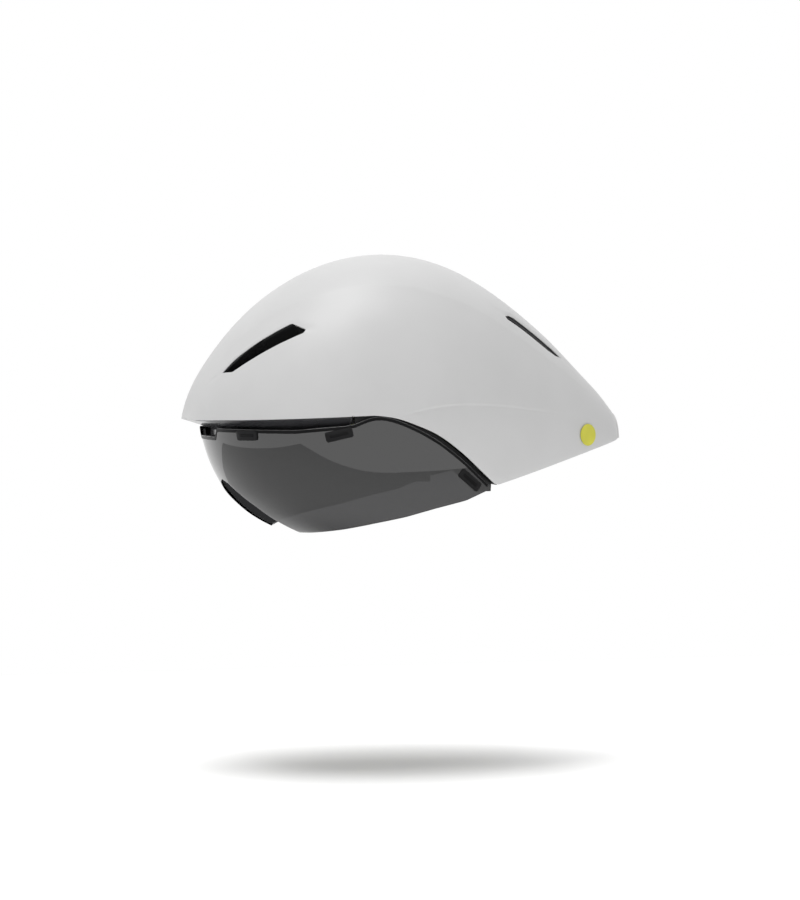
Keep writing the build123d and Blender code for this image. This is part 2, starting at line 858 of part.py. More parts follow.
# Four soft anchors between the foam and the slip liner
slip_anchor_radius = 5.0
slip_anchor_thickness = 1.0
slip_anchor_angles = (-60.0, 62.0)
slip_anchor_level = 22.0


def form_side(angle, level):
    """Point of the head form at an angle round it on a level."""
    size = (1 - (level / head_height) ** form_power) ** (1 / form_power)
    x = size * head_width * math.cos(math.radians(angle))
    return x, head_shift + size * head_length * math.sin(math.radians(angle)), level


with BuildPart() as slip_anchors:
    for angle in slip_anchor_angles:
        plane = seat_plane(form_side, angle, slip_anchor_level)
        disc = Cylinder(
            slip_anchor_radius,
            slip_anchor_thickness,
            align=(Align.CENTER, Align.CENTER, Align.MAX),
            mode=Mode.PRIVATE,
        )
        add(both(plane.offset(-seat_gap).location * disc))

# Retention: anchors in the foam, webbing along the pocket's wall, dividers, chin strap and buckle
with BuildPart() as strap_anchors:
    for pair, point in zip((front_anchor, rear_anchor), plug_points[1:]):
        face = ribbon(strap_path(*pair, strap_anchor_inset), strap_anchor_thickness, strap_low)
        with BuildPart(mode=Mode.PRIVATE) as anchor:
            extrude(face, amount=plug_low - strap_low)
            add(plug(point))
        add(both(anchor.part))

front_strap_run = (35.9, 53.4)
divider_run = (54.2, 68.0)
rear_strap_run = (69.3, 86.1)
divider_thickness = 4.4
divider_inset = 18.6
divider_low = -24.0
divider_high = -8.4

with BuildPart() as front_strap_left:
    extrude(ribbon(strap_path(*front_strap_run), strap_thickness, strap_low), amount=strap_high - strap_low)

with BuildPart() as rear_strap_left:
    extrude(ribbon(strap_path(*rear_strap_run), strap_thickness, strap_low), amount=strap_high - strap_low)

with BuildPart() as strap_divider_left:
    face = ribbon(strap_path(*divider_run, divider_inset), divider_thickness, divider_low)
    extrude(face, amount=divider_high - divider_low)

with BuildPart() as front_strap_right:
    mirror(front_strap_left.part, about=Plane.YZ)

with BuildPart() as rear_strap_right:
    mirror(rear_strap_left.part, about=Plane.YZ)

with BuildPart() as strap_divider_right:
    mirror(strap_divider_left.part, about=Plane.YZ)

# Chin strap: place and inset from the shell along the pocket, then points behind the dial
chin_wall = ((69.4, 19.9), (75.0, 22.6), (82.0, 24.4), (95.0, 24.4), (110.0, 23.5))
chin_rear_shares = ((0.419, 124.0), (0.3238, 133.0), (0.2324, 137.4))  # share of the half width, and place
chin_rear = [(half_width * share, place) for share, place in chin_rear_shares]
buckle_left = 14.0
buckle_right = -24.0
buckle_front = 135.5
buckle_back = 141.0
buckle_low = -23.5
buckle_high = -8.5
buckle_wall = 1.2
prong_reach = 14.0
prong_height = 2.4
prong_thickness = 2.2
buckle_middle = (buckle_front + buckle_back) / 2

chin_left_path = [(wall_x(y, inset), y) for y, inset in chin_wall]
chin_left_path += [*chin_rear, (buckle_left + seat_gap, buckle_middle)]
chin_right_path = [(wall_x(y, inset), y) for y, inset in chin_wall]
chin_right_path += [*chin_rear]

with BuildPart() as chin_strap_left:
    extrude(ribbon(chin_left_path, strap_thickness, strap_low), amount=strap_high - strap_low)

with BuildPart() as chin_strap_right:
    with BuildPart(mode=Mode.PRIVATE) as chin_mirror:
        extrude(ribbon(chin_right_path, strap_thickness, strap_low), amount=strap_high - strap_low)
    mirror(chin_mirror.part, about=Plane.YZ)

with BuildPart() as buckle_female:
    add(box((buckle_right, buckle_front, buckle_low), (0, buckle_back, buckle_high)))
    add(
        box(
            (-prong_reach - seat_gap, buckle_front + buckle_wall, buckle_low + buckle_wall),
            (overrun, buckle_back - buckle_wall, buckle_high - buckle_wall),
        ),
        mode=Mode.SUBTRACT,
    )

prong_gap = buckle_wall + slide_gap
with BuildPart() as buckle_male:
    add(box((running_gap + foam_gap, buckle_front, buckle_low), (buckle_left, buckle_back, buckle_high)))
    prong_y = (buckle_middle - prong_thickness / 2, buckle_middle + prong_thickness / 2)
    for low in (buckle_low + prong_gap, buckle_high - prong_gap - prong_height):
        root = running_gap + seat_gap + foam_gap
        add(box((-prong_reach, prong_y[0], low), (root, prong_y[1], low + prong_height)))

keeper_run = (96.0, 102.0)
keeper_inset = 24.2
keeper_wall = 1.0
keeper_cut = (keeper_run[0] - overshoot, keeper_run[1] + overshoot)
with BuildPart() as strap_keeper:
    with BuildPart(mode=Mode.PRIVATE) as keeper:
        keeper_path = strap_path(*keeper_run, keeper_inset)
        opening = strap_thickness + 2 * seat_gap
        low = strap_low - seat_gap - keeper_wall
        tall = strap_high - strap_low + 2 * seat_gap
        extrude(ribbon(keeper_path, opening + 2 * keeper_wall, low), amount=tall + 2 * keeper_wall)
        extrude(
            ribbon(strap_path(*keeper_cut, keeper_inset), opening, strap_low - seat_gap),
            amount=tall,
            mode=Mode.SUBTRACT,
        )
    mirror(keeper.part, about=Plane.YZ)

# Fit system: bands from the temple anchors to the racks
with BuildPart() as fit_band_left:
    face = ribbon(band_path(anchor_start, band_end, 9), band_thickness, band_low)
    extrude(face, amount=band_high - band_low)

with BuildPart() as fit_band_right:
    mirror(fit_band_left.part, about=Plane.YZ)

with BuildPart() as temple_anchor_left:
    outer = band_path(anchor_start, anchor_end, 4, anchor_outer)
    inner = band_path(anchor_start, anchor_end, 4, anchor_inner)
    extrude(strip(outer, inner, band_low), amount=plug_low - band_low)
    add(plug(plug_points[0]))

with BuildPart() as temple_anchor_right:
    mirror(temple_anchor_left.part, about=Plane.YZ)

# Rack and pinion: two racks that the dial draws together
gear_module = 0.8
pinion_teeth = 10
pinion_radius = gear_module * pinion_teeth / 2
tooth_pitch = math.pi * gear_module
pinion_addendum = 0.6
pinion_dedendum = 0.7
root_share = 1.3  # of the dedendum, so that the tooth starts inside the gear's body
rack_addendum = 0.42
rack_dedendum = 0.85
pressure_angle = 20.0
backlash = 0.34
rack_inner = -7.0
rack_outer = 28.0
rack_end = 33.4
rack_top = 8.5  # above the dial's axis
rack_tooth_count = 7
journal_radius = 2.0
journal_front = 98.0
shaft_radius = 3.0
shaft_end = 112.0
screw_hole = 1.3


def involute_half(radius):
    """Half angle of a pinion tooth at a radius."""
    base = pinion_radius * math.cos(math.radians(pressure_angle))
    turn = math.acos(min(base / max(radius, base), 1))
    start = math.radians(pressure_angle)
    half = (tooth_pitch / 2 - backlash / 2) / 2 / pinion_radius
    return half + math.tan(start) - start - math.tan(turn) + turn


def pinion_tooth():
    """Outline points of one tooth that points up from the pinion's centre."""
    radii = [
        pinion_radius - pinion_dedendum * root_share,
        pinion_radius * math.cos(math.radians(pressure_angle)),
        pinion_radius,
        pinion_radius + pinion_addendum / 2,
        pinion_radius + pinion_addendum,
    ]
    halves = [(radius, involute_half(radius)) for radius in radii]
    side = [(radius * math.sin(half), radius * math.cos(half)) for radius, half in halves]
    return [*[(-x, z) for x, z in side], *side[::-1]]


with BuildPart() as dial_pinion:
    with BuildSketch(Plane.XZ.offset(-rack_front)):
        with Locations((0, fit_level)):
            Circle(pinion_radius - pinion_dedendum)
            with PolarLocations(0, pinion_teeth):
                with BuildLine(mode=Mode.PRIVATE) as tooth_line:
                    Polyline(*pinion_tooth(), close=True)
                with BuildSketch(mode=Mode.PRIVATE) as tooth:
                    add(tooth_line.line)
                    make_face()
                add(tooth.sketch)
    extrude(amount=rack_front - rack_back + running_gap)
    add(pin(0, fit_level, journal_radius, journal_front, rack_front))
    add(pin(0, fit_level, shaft_radius, rack_back - running_gap, shaft_end))
    add(pin(0, fit_level, screw_hole, shaft_end - overrun / 2, shaft_end + overrun), mode=Mode.SUBTRACT)


def rack_points():
    """Outline of the left rack in the front view, above the pinion, measured from the dial's axis."""
    lean = math.tan(math.radians(pressure_angle))
    half = (tooth_pitch / 2 - backlash / 2) / 2
    root = pinion_radius + rack_dedendum
    tip = pinion_radius - rack_addendum
    points = [(rack_inner, rack_top), (rack_inner, root)]
    for index in range(-1, rack_tooth_count - 1):
        middle_x = (index + 0.5) * tooth_pitch
        points.append((middle_x - half - lean * rack_dedendum, root))
        points.append((middle_x - half + lean * rack_addendum, tip))
        points.append((middle_x + half - lean * rack_addendum, tip))
        points.append((middle_x + half + lean * rack_dedendum, root))
    points += [(rack_outer, root), (rack_outer, band_low - fit_level), (rack_end, band_low - fit_level)]
    return [*points, (rack_end, rack_top)]


with BuildPart() as rack_left:
    with BuildSketch(Plane.XZ.offset(-rack_front)):
        with BuildLine():
            Polyline(*[(x, fit_level + z) for x, z in rack_points()], close=True)
        make_face()
    extrude(amount=rack_front - rack_back)

with BuildPart() as rack_right:
    with BuildSketch(Plane.XZ.offset(-rack_front)):
        with BuildLine():
            Polyline(*[(-x, fit_level - z) for x, z in rack_points()], close=True)
        make_face()
    extrude(amount=rack_front - rack_back)

# Housing of the dial, in two halves held by four screws
housing_half = 27.0
housing_reach = 13.0  # axis up and down to the housing's edge
cavity_reach = 8.8
housing_front_face = 97.5
front_floor = 99.7
housing_split = 101.7
rear_floor = 103.4
housing_back_face = 105.5
split_gap = 0.1
screw_places = ((18.0, 10.9), (-18.0, 10.9), (18.0, -10.9), (-18.0, -10.9))
screw_radius = 1.0
screw_head_radius = 1.9
screw_head_height = 1.2
screw_start = 98.0


def housing_half_body(face, floor, split):
    """One half of the housing: a plate with a wall along its top and along its bottom."""
    with BuildPart() as body:
        low, high = sorted((face, split))
        corner = (housing_half, high, fit_level + housing_reach)
        add(box((-housing_half, low, fit_level - housing_reach), corner))
        low, high = sorted((floor, split + math.copysign(overrun, split - face)))
        add(
            box((-reach, low, fit_level - cavity_reach), (reach, high, fit_level + cavity_reach)),
            mode=Mode.SUBTRACT,
        )
        for x, z in screw_places:
            hole = screw_radius + running_gap
            add(pin(x, fit_level + z, hole, screw_start - edge_gap, reach), mode=Mode.SUBTRACT)
            add(
                pin(
                    x,
                    fit_level + z,
                    screw_head_radius + slide_gap,
                    housing_back_face - screw_head_height - running_gap,
                    reach,
                ),
                mode=Mode.SUBTRACT,
            )
    return body.part


with BuildPart() as housing_front:
    add(housing_half_body(housing_front_face, front_floor, housing_split - split_gap))
    bore = journal_radius + running_gap
    add(pin(0, fit_level, bore, journal_front - seat_gap, front_floor + overshoot), mode=Mode.SUBTRACT)

with BuildPart() as housing_rear:
    add(housing_half_body(housing_back_face, rear_floor, housing_split + split_gap))
    add(pin(0, fit_level, shaft_radius + running_gap, rear_floor - overshoot, reach), mode=Mode.SUBTRACT)

with BuildPart() as housing_screws:
    for x, z in screw_places:
        head_start = housing_back_face - screw_head_height
        add(pin(x, fit_level + z, screw_radius, screw_start, head_start))
        add(pin(x, fit_level + z, screw_head_radius, head_start, housing_back_face))

# Dial knob with grips round its rim, and its screw
knob_radius = 13.0
knob_front = 106.0
knob_back = 115.0
grip_count = 12
grip_radius = 2.4
knob_floor = 112.3
knob_counter = 113.2
dial_head_radius = 2.6
dial_head_height = 1.3

with BuildPart() as dial_knob:
    with BuildSketch(Plane.XZ.offset(-knob_front)):
        with Locations((0, fit_level)):
            Circle(knob_radius)
            with PolarLocations(knob_radius + grip_radius / 2, grip_count):
                Circle(grip_radius, mode=Mode.SUBTRACT)
    extrude(amount=knob_front - knob_back)
    add(pin(0, fit_level, shaft_radius + running_gap, knob_front - overrun, knob_floor), mode=Mode.SUBTRACT)
    add(pin(0, fit_level, screw_hole, knob_floor - overshoot, knob_back), mode=Mode.SUBTRACT)
    counter = dial_head_radius + seat_gap
    add(pin(0, fit_level, counter, knob_counter, knob_back + overshoot), mode=Mode.SUBTRACT)

with BuildPart() as dial_screw:
    add(pin(0, fit_level, screw_radius, shaft_end - overrun / 3, knob_counter + running_gap))
    add(pin(0, fit_level, dial_head_radius, knob_counter + running_gap, knob_counter + dial_head_height))

# Cradle behind the head, with its two pads
cradle_centre = 23.0
cradle_inner = 72.0
cradle_outer = 74.2
cradle_spread = 36.0
cradle_low = -37.0
cradle_high = -11.0
cradle_pad_inner = 67.7
cradle_pad_outer = 71.7
cradle_pad_start = 10.0
cradle_pad_end = 34.0
cradle_pad_low = -35.0
cradle_pad_high = -13.0


def arc_path(radius, start, end, count):
    """Points on a circle round the cradle's centre, at angles from straight back."""
    angles = [math.radians(start + (end - start) * step / (count - 1)) for step in range(count)]
    return [(radius * math.sin(angle), cradle_centre + radius * math.cos(angle)) for angle in angles]


with BuildPart() as occipital_cradle:
    outer = arc_path(cradle_outer, -cradle_spread, cradle_spread, 9)
    inner = arc_path(cradle_inner, -cradle_spread, cradle_spread, 9)
    extrude(strip(outer, inner, cradle_low), amount=cradle_high - cradle_low)

with BuildPart() as cradle_pad_left:
    outer = arc_path(cradle_pad_outer, cradle_pad_start, cradle_pad_end, 5)
    inner = arc_path(cradle_pad_inner, cradle_pad_start, cradle_pad_end, 5)
    extrude(strip(outer, inner, cradle_pad_low), amount=cradle_pad_high - cradle_pad_low)

with BuildPart() as cradle_pad_right:
    mirror(cradle_pad_left.part, about=Plane.YZ)

# Height stem in its guide, and the flexible arm that carries the housing
stem_slot_gap = 0.25
arm_half = 6.0
arm_front = 99.5
arm_thickness = 1.2
notch_pitch = 4.0
notch_count = 5
notch_radius = 0.5

with BuildPart() as stem_guide:
    add(box((-guide_half, guide_front, guide_low), (guide_half, guide_back, guide_high)))
    add(
        box(
            (-stem_half - stem_slot_gap, guide_front - overshoot, guide_low - overshoot),
            (
                stem_half + stem_slot_gap,
                stem_front + stem_thickness + stem_slot_gap,
                stem_high + stem_slot_gap,
            ),
        ),
        mode=Mode.SUBTRACT,
    )

with BuildPart() as height_stem:
    add(box((-stem_half, stem_front, stem_low), (stem_half, stem_front + stem_thickness, stem_high)))
    for index in range(notch_count):
        with Locations((0, stem_front, stem_high - notch_pitch * (index + 1))):
            Cylinder(notch_radius, stem_half, rotation=(0, right_angle, 0), mode=Mode.SUBTRACT)

with BuildPart() as flex_arm:
    arm_low = fit_level + housing_reach + seat_gap
    add(box((-arm_half, arm_front, arm_low), (arm_half, arm_front + arm_thickness, stem_low - seat_gap)))

pieces = {
    "outer_shell": outer_shell,
    "eps_liner": eps_liner,
    "brow_bezel": brow_bezel,
    "arch_trim_left": arch_trim_left,
    "arch_trim_right": arch_trim_right,
    "front_vent_duct_left": front_vent_duct_left,
    "front_vent_duct_right": front_vent_duct_right,
    "rear_vent_duct_left": rear_vent_duct_left,
    "rear_vent_duct_right": rear_vent_duct_right,
    "magnet_seats": magnet_seats,
    "helmet_magnets": helmet_magnets,
    "rear_disc": rear_disc,
    "shield_lens": shield_lens,
    "shield_magnet_holders": shield_magnet_holders,
    "shield_magnets": shield_magnets,
    "slip_liner": slip_liner,
    "slip_anchors": slip_anchors,
    "brow_pad": brow_pad,
    "crown_pad": crown_pad,
    "side_pad_left": side_pad_left,
    "side_pad_right": side_pad_right,
    "strap_anchors": strap_anchors,
    "front_strap_left": front_strap_left,
    "front_strap_right": front_strap_right,
    "rear_strap_left": rear_strap_left,
    "rear_strap_right": rear_strap_right,
    "strap_divider_left": strap_divider_left,
    "strap_divider_right": strap_divider_right,
    "chin_strap_left": chin_strap_left,
    "chin_strap_right": chin_strap_right,
    "strap_keeper": strap_keeper,
    "buckle_female": buckle_female,
    "buckle_male": buckle_male,
    "temple_anchor_left": temple_anchor_left,
    "temple_anchor_right": temple_anchor_right,
    "fit_band_left": fit_band_left,
    "fit_band_right": fit_band_right,
    "rack_left": rack_left,
    "rack_right": rack_right,
    "dial_pinion": dial_pinion,
    "dial_knob": dial_knob,
    "dial_screw": dial_screw,
    "housing_front": housing_front,
    "housing_rear": housing_rear,
    "housing_screws": housing_screws,
    "occipital_cradle": occipital_cradle,
    "cradle_pad_left": cradle_pad_left,
    "cradle_pad_right": cradle_pad_right,
    "stem_guide": stem_guide,
    "height_stem": height_stem,
    "flex_arm": flex_arm,
}
for label, piece in pieces.items():
    piece.part.label = label
    export_step(piece.part, f"parts/{label}.step")
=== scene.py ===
"""Looks of an aero time trial helmet around its packed construction model.

Lengths are in millimetres in the shape functions and turned to metres when a mesh is made.
The front faces -Y, up is +Z and the wearer's left is +X.
"""

import math

import bpy
import numpy as np
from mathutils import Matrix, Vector
from mathutils.geometry import delaunay_2d_cdt


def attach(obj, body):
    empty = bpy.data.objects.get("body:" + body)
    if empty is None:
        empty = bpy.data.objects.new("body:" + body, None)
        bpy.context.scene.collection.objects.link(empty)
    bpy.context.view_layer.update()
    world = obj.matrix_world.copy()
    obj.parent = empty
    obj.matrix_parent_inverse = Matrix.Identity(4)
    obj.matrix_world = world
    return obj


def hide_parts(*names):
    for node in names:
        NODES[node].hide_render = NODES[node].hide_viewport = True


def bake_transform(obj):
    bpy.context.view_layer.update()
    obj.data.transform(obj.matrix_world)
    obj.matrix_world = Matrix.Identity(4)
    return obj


bl_info = {
    "name": "Aero Time Trial Helmet",
    "version": (1, 0, 0),
    "blender": (4, 5, 0),
    "location": "View3D > Sidebar > Helmet",
    "description": "Painted shell, smoke shield, foam, straps and fit system of a time trial helmet",
    "category": "Object",
}

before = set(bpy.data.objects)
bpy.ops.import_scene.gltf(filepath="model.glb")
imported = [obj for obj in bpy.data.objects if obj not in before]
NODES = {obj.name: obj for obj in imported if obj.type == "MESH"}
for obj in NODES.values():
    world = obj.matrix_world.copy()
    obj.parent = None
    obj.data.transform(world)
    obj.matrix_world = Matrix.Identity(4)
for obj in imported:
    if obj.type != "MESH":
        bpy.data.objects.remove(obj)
MM = 0.001
MIRROR = np.array([-1, 1, 1])
QUARTER = math.pi / 2


# Small helpers


def linear(hex_colour):
    """Linear RGB of an sRGB hex colour, by the sRGB transfer curve."""
    values = [int(hex_colour[i : i + 2], 16) / 255 for i in (1, 3, 5)]
    return tuple(v / 12.92 if v <= 0.04045 else ((v + 0.055) / 1.055) ** 2.4 for v in values)


def add_node(tree, kind, inputs=None, **settings):
    """Adds a node with its settings, and fills its inputs: an output is linked, any other value is set."""
    made = tree.nodes.new(kind)
    for name, value in settings.items():
        setattr(made, name, value)
    for key, value in (inputs or {}).items():
        if isinstance(value, bpy.types.NodeSocket):
            tree.links.new(value, made.inputs[key])
        else:
            made.inputs[key].default_value = value
    return made


def new_material(name):
    """An empty node material, and the tree to fill."""
    material = bpy.data.materials.new(name)
    material.use_nodes = True
    material.node_tree.nodes.clear()
    return material, material.node_tree


def finish_material(material, shader):
    """Links a shader to the material's output and returns the material."""
    add_node(material.node_tree, "ShaderNodeOutputMaterial", {"Surface": shader.outputs[0]})
    return material


def principled(material, inputs):
    """Ends a material in a principled shader with these inputs."""
    return finish_material(material, add_node(material.node_tree, "ShaderNodeBsdfPrincipled", inputs))


def maths(tree, operation, first, second=0.0):
    """Result of one operation on two values, each an output or a number."""
    return add_node(tree, "ShaderNodeMath", {0: first, 1: second}, operation=operation).outputs[0]


def own_place(tree):
    """The piece's own coordinates, in metres."""
    return add_node(tree, "ShaderNodeTexCoord").outputs["Object"]


def noise(tree, scale, detail):
    """Noise in the piece's own coordinates, with this many cells to a metre."""
    inputs = {"Vector": own_place(tree), "Scale": scale, "Detail": detail}
    return add_node(tree, "ShaderNodeTexNoise", inputs).outputs["Fac"]


def bump(tree, height, strength, rise):
    """Bump normal from a height output, with the whole rise in millimetres."""
    inputs = {"Height": height, "Strength": strength, "Distance": rise * MM}
    return add_node(tree, "ShaderNodeBump", inputs).outputs["Normal"]


def mixed(tree, factor, first, second):
    """Colour between two linear colours by a factor output."""
    mix = add_node(tree, "ShaderNodeMix", {"Factor": factor}, data_type="RGBA")
    for index, colour in ((6, first), (7, second)):
        if isinstance(colour, bpy.types.NodeSocket):
            tree.links.new(colour, mix.inputs[index])
        else:
            mix.inputs[index].default_value = (*colour, 1)
    return mix.outputs[2]


def ranged(tree, value, low, high, to_low, to_high):
    """Output that goes from one number to another while a value goes from low to high."""
    inputs = {"Value": value, "From Min": low, "From Max": high, "To Min": to_low, "To Max": to_high}
    return add_node(tree, "ShaderNodeMapRange", inputs).outputs["Result"]


def shade(colour, factor):
    """A colour made darker or lighter by a factor."""
    return tuple(c * factor for c in colour)


def grid_faces(rows, columns, closed=False):
    """Quads between neighbouring rows and columns of a grid; closed joins the last column to the first."""
    across = columns if closed else columns - 1
    i, j = np.meshgrid(np.arange(rows - 1), np.arange(across), indexing="ij")
    k = (j + 1) % columns
    corners = (i * columns + j, (i + 1) * columns + j, (i + 1) * columns + k, i * columns + k)
    return np.stack(corners, -1).reshape(-1, 4)


def tube_faces(rows, columns, reverse=False):
    """Quads of a closed profile carried over rows, reversed if asked, and a face over each end."""
    quads = grid_faces(rows, columns, closed=True)
    ends = [list(range(columns)), list(range(rows * columns - 1, (rows - 1) * columns - 1, -1))]
    return [*(quads[:, ::-1] if reverse else quads), *ends]


def turned(points, faces, index, middle, away=1):
    """The faces, all turned round if the indexed one faces the middle, or with away -1 if it faces away."""
    corners = points[np.asarray(faces[index])]
    normal = np.cross(corners[2] - corners[0], corners[3] - corners[1])
    if away * (normal @ (corners.mean(0) - middle)) >= 0:
        return faces
    return [face[::-1] for face in faces]


def path_lengths(points):
    """Distance along a path at each of its points."""
    return np.r_[0, np.cumsum(np.linalg.norm(np.diff(points, axis=0), axis=1))]


def unit(vectors):
    """Vectors at length 1."""
    return vectors / np.linalg.norm(vectors, axis=-1, keepdims=True)


def mirrored(half):
    """Rows of the right half from its far end to the middle, then the given rows of the left half."""
    return np.concatenate([(half * MIRROR)[::-1][:-1], half])


def make_piece(name, points, faces, material, body, uv=None, smooth_angle=40):
    """Mesh object from millimetre points and faces, smooth up to an angle, riding on a body."""
    mesh = bpy.data.meshes.new(name)
    corners = [list(map(int, face)) for face in faces]
    mesh.from_pydata(np.asarray(points, float).reshape(-1, 3) * MM, [], corners)
    mesh.validate()
    mesh.polygons.foreach_set("use_smooth", np.ones(len(mesh.polygons), bool))
    mesh.set_sharp_from_angle(angle=math.radians(smooth_angle))
    if uv is not None:
        corner = np.empty(len(mesh.loops), np.int32)
        mesh.loops.foreach_get("vertex_index", corner)
        layer = mesh.uv_layers.new(name="weave")
        layer.data.foreach_set("uv", np.asarray(uv, np.float32).reshape(-1, 2)[corner].ravel())
    mesh.materials.append(material)
    obj = bpy.data.objects.new(name, mesh)
    bpy.context.scene.collection.objects.link(obj)
    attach(obj, body)
    return obj


def add_bevel(obj, width, segments, angle):
    """Rounds the piece's edges sharper than an angle by a width in millimetres."""
    modifier = obj.modifiers.new("edge_round", "BEVEL")
    modifier.width = width * MM
    modifier.segments = segments
    modifier.limit_method = "ANGLE"
    modifier.angle_limit = math.radians(angle)


def add_wall(obj, thickness, even=True):
    """Gives a sheet its wall inwards, in millimetres; even keeps it as thick round corners."""
    modifier = obj.modifiers.new("wall", "SOLIDIFY")
    modifier.thickness = thickness * MM
    modifier.offset = -1.0
    modifier.use_even_offset = even
    return modifier


def coat_nodes(finish, *names):
    """Gives construction nodes their material."""
    for name in names:
        mesh = NODES[name].data
        mesh.materials.clear()
        mesh.materials.append(material(finish))


def natural_spline(knots, values, at):
    """Natural cubic spline: second slopes from one linear solve, then its cubic pieces at given places."""
    knots = np.asarray(knots, float)
    values = np.asarray(values, float).reshape(len(knots), -1)
    gaps = np.diff(knots)
    count = len(knots)
    matrix = np.eye(count)
    right = np.zeros_like(values)
    for i in range(1, count - 1):
        matrix[i, i - 1 : i + 2] = gaps[i - 1], 2 * (gaps[i - 1] + gaps[i]), gaps[i]
        after = (values[i + 1] - values[i]) / gaps[i]
        right[i] = 6 * (after - (values[i] - values[i - 1]) / gaps[i - 1])
    bends = np.linalg.solve(matrix, right)
    at = np.atleast_1d(np.asarray(at, float))
    i = np.clip(np.searchsorted(knots, at) - 1, 0, count - 2)
    gap = gaps[i][:, None]
    a = (knots[i + 1] - at)[:, None] / gap
    b = 1 - a
    result = a * values[i] + b * values[i + 1]
    return result + ((a**3 - a) * bends[i] + (b**3 - b) * bends[i + 1]) * gap**2 / 6


def smooth_curve(points, count):
    """Points on a natural spline by chord length through the given points, evenly spaced along it."""
    points = np.asarray(points, float)
    chords = path_lengths(points)
    dense = natural_spline(chords, points, np.linspace(0, chords[-1], 40 * len(points)))
    runs = path_lengths(dense)
    places = np.linspace(0, runs[-1], count)
    return np.stack([np.interp(places, runs, dense[:, k]) for k in range(dense.shape[1])], 1)


def ease(value):
    """Smooth step from 0 to 1 of a value clipped to that range: 3 v^2 - 2 v^3."""
    value = np.clip(value, 0, 1)
    return value * value * (3 - 2 * value)


# Shell surface, on the construction model's stations: shares of its place, rise, width and waist drop

SHELL_FRONT, SHELL_REAR, CROWN, HALF_WIDTH, WAIST_DROP = 126.0, 187.0, 117.7, 105.0, 17.0
SECTION_POWER = 2.15
DEPTH_SHARE = 1.1
STATIONS = np.array(
    [
        (-1.0125, 0.020, 0.120, 0.12),
        (-0.993, 0.078, 0.290, 0.12),
        (-0.968, 0.181, 0.365, 0.12),
        (-0.921, 0.290, 0.437, 0.12),
        (-0.837, 0.419, 0.595, 0.12),
        (-0.714, 0.578, 0.752, 0.12),
        (-0.556, 0.735, 0.886, 0.12),
        (-0.357, 0.873, 0.967, 0.12),
        (-0.143, 0.964, 1.000, 0.12),
        (0.053, 1.000, 1.000, 0.18),
        (0.187, 0.985, 0.976, 0.24),
        (0.321, 0.923, 0.924, 0.35),
        (0.455, 0.813, 0.843, 0.47),
        (0.588, 0.665, 0.729, 0.59),
        (0.722, 0.487, 0.590, 0.71),
        (0.845, 0.294, 0.448, 0.82),
        (0.928, 0.160, 0.343, 0.94),
        (0.965, 0.090, 0.281, 0.97),
        (0.987, 0.050, 0.208, 1.00),
        (1.000, 0.018, 0.124, 1.00),
    ]
)

# Lower edge, as places and heights: straight under the brow, arched over the ear and straight to the tail
EDGE_FRONT = ((-140.0, 0.7), (-17.0, 5.8))
ARCH = (
    (-17.0, 5.8), (-0.8, 3.4), (12.0, -0.9), (26.0, -6.8),
    (39.7, -15.5), (51.0, -24.3), (63.2, -35.0), (73.7, -43.6),
)
EDGE_REAR = ((73.7, -43.6), (187.0, -13.2))


def dense_stations():
    """Stations on a spline by chord length: places on it, and rows of y, half width, rise and waist."""
    y = STATIONS[:, 0] * np.where(STATIONS[:, 0] > 0, SHELL_REAR, SHELL_FRONT)
    waist = -STATIONS[:, 3] * WAIST_DROP
    rows = np.stack([y, STATIONS[:, 2] * HALF_WIDTH, STATIONS[:, 1] * CROWN - waist, waist], 1)
    chords = path_lengths(rows[:, :3])
    places = np.linspace(0, chords[-1], 6000)
    return places, natural_spline(chords, rows, places)


STATION_PLACES, STATION_ROWS = dense_stations()
EDGE_LINE = np.concatenate([EDGE_FRONT, smooth_curve(ARCH, 60), EDGE_REAR])


def section(y):
    """Half width, rise and waist of the cross section at y."""
    return [np.interp(y, STATION_ROWS[:, 0], STATION_ROWS[:, k]) for k in (1, 2, 3)]


def edge_height(y):
    """Height of the shell's lower edge at y."""
    return np.interp(y, EDGE_LINE[:, 0], EDGE_LINE[:, 1])


def angle_at(y, z):
    """Section angle, from the side axis up, at which the surface at y has the height z."""
    _, rise, waist = section(y)
    share = np.where(z > waist, (z - waist) / rise, (waist - z) / rise / DEPTH_SHARE)
    return np.copysign(np.arcsin(np.clip(share, 0, 1) ** (SECTION_POWER / 2)), z - waist)


def surface_at(y, angle):
    """Point of the bare surface: x = w cos^(2/p), z = waist + r sin^(2/p), deeper below the waist."""
    width, rise, waist = section(y)
    cosine, sine = np.cos(angle), np.sin(angle)
    x = width * np.abs(cosine) ** (2 / SECTION_POWER)
    z = rise * np.copysign(np.abs(sine) ** (2 / SECTION_POWER), sine)
    z = np.where(z > 0, z, DEPTH_SHARE * z)
    return np.stack([x, y + 0 * angle, waist + z], -1)


def side_x(y, z):
    """Half width of the bare surface at y and z."""
    return surface_at(y, angle_at(y, z))[..., 0]


# Vent slots: plane, outline and lip


def round_corners(points, radius, steps=5):
    """Closed outline with a parabola arc at each corner, from a radius before it to a radius after it."""
    result = []
    for before, corner, after in zip(np.roll(points, 1, axis=0), points, np.roll(points, -1, axis=0)):
        ends = []
        for other in (before, after):
            run = other - corner
            ends.append(corner + run * min(radius / np.linalg.norm(run), 0.45))
        t = np.linspace(0, 1, steps)[:, None]
        result.append((1 - t) ** 2 * ends[0] + 2 * t * (1 - t) * corner + t**2 * ends[1])
    return np.concatenate(result)


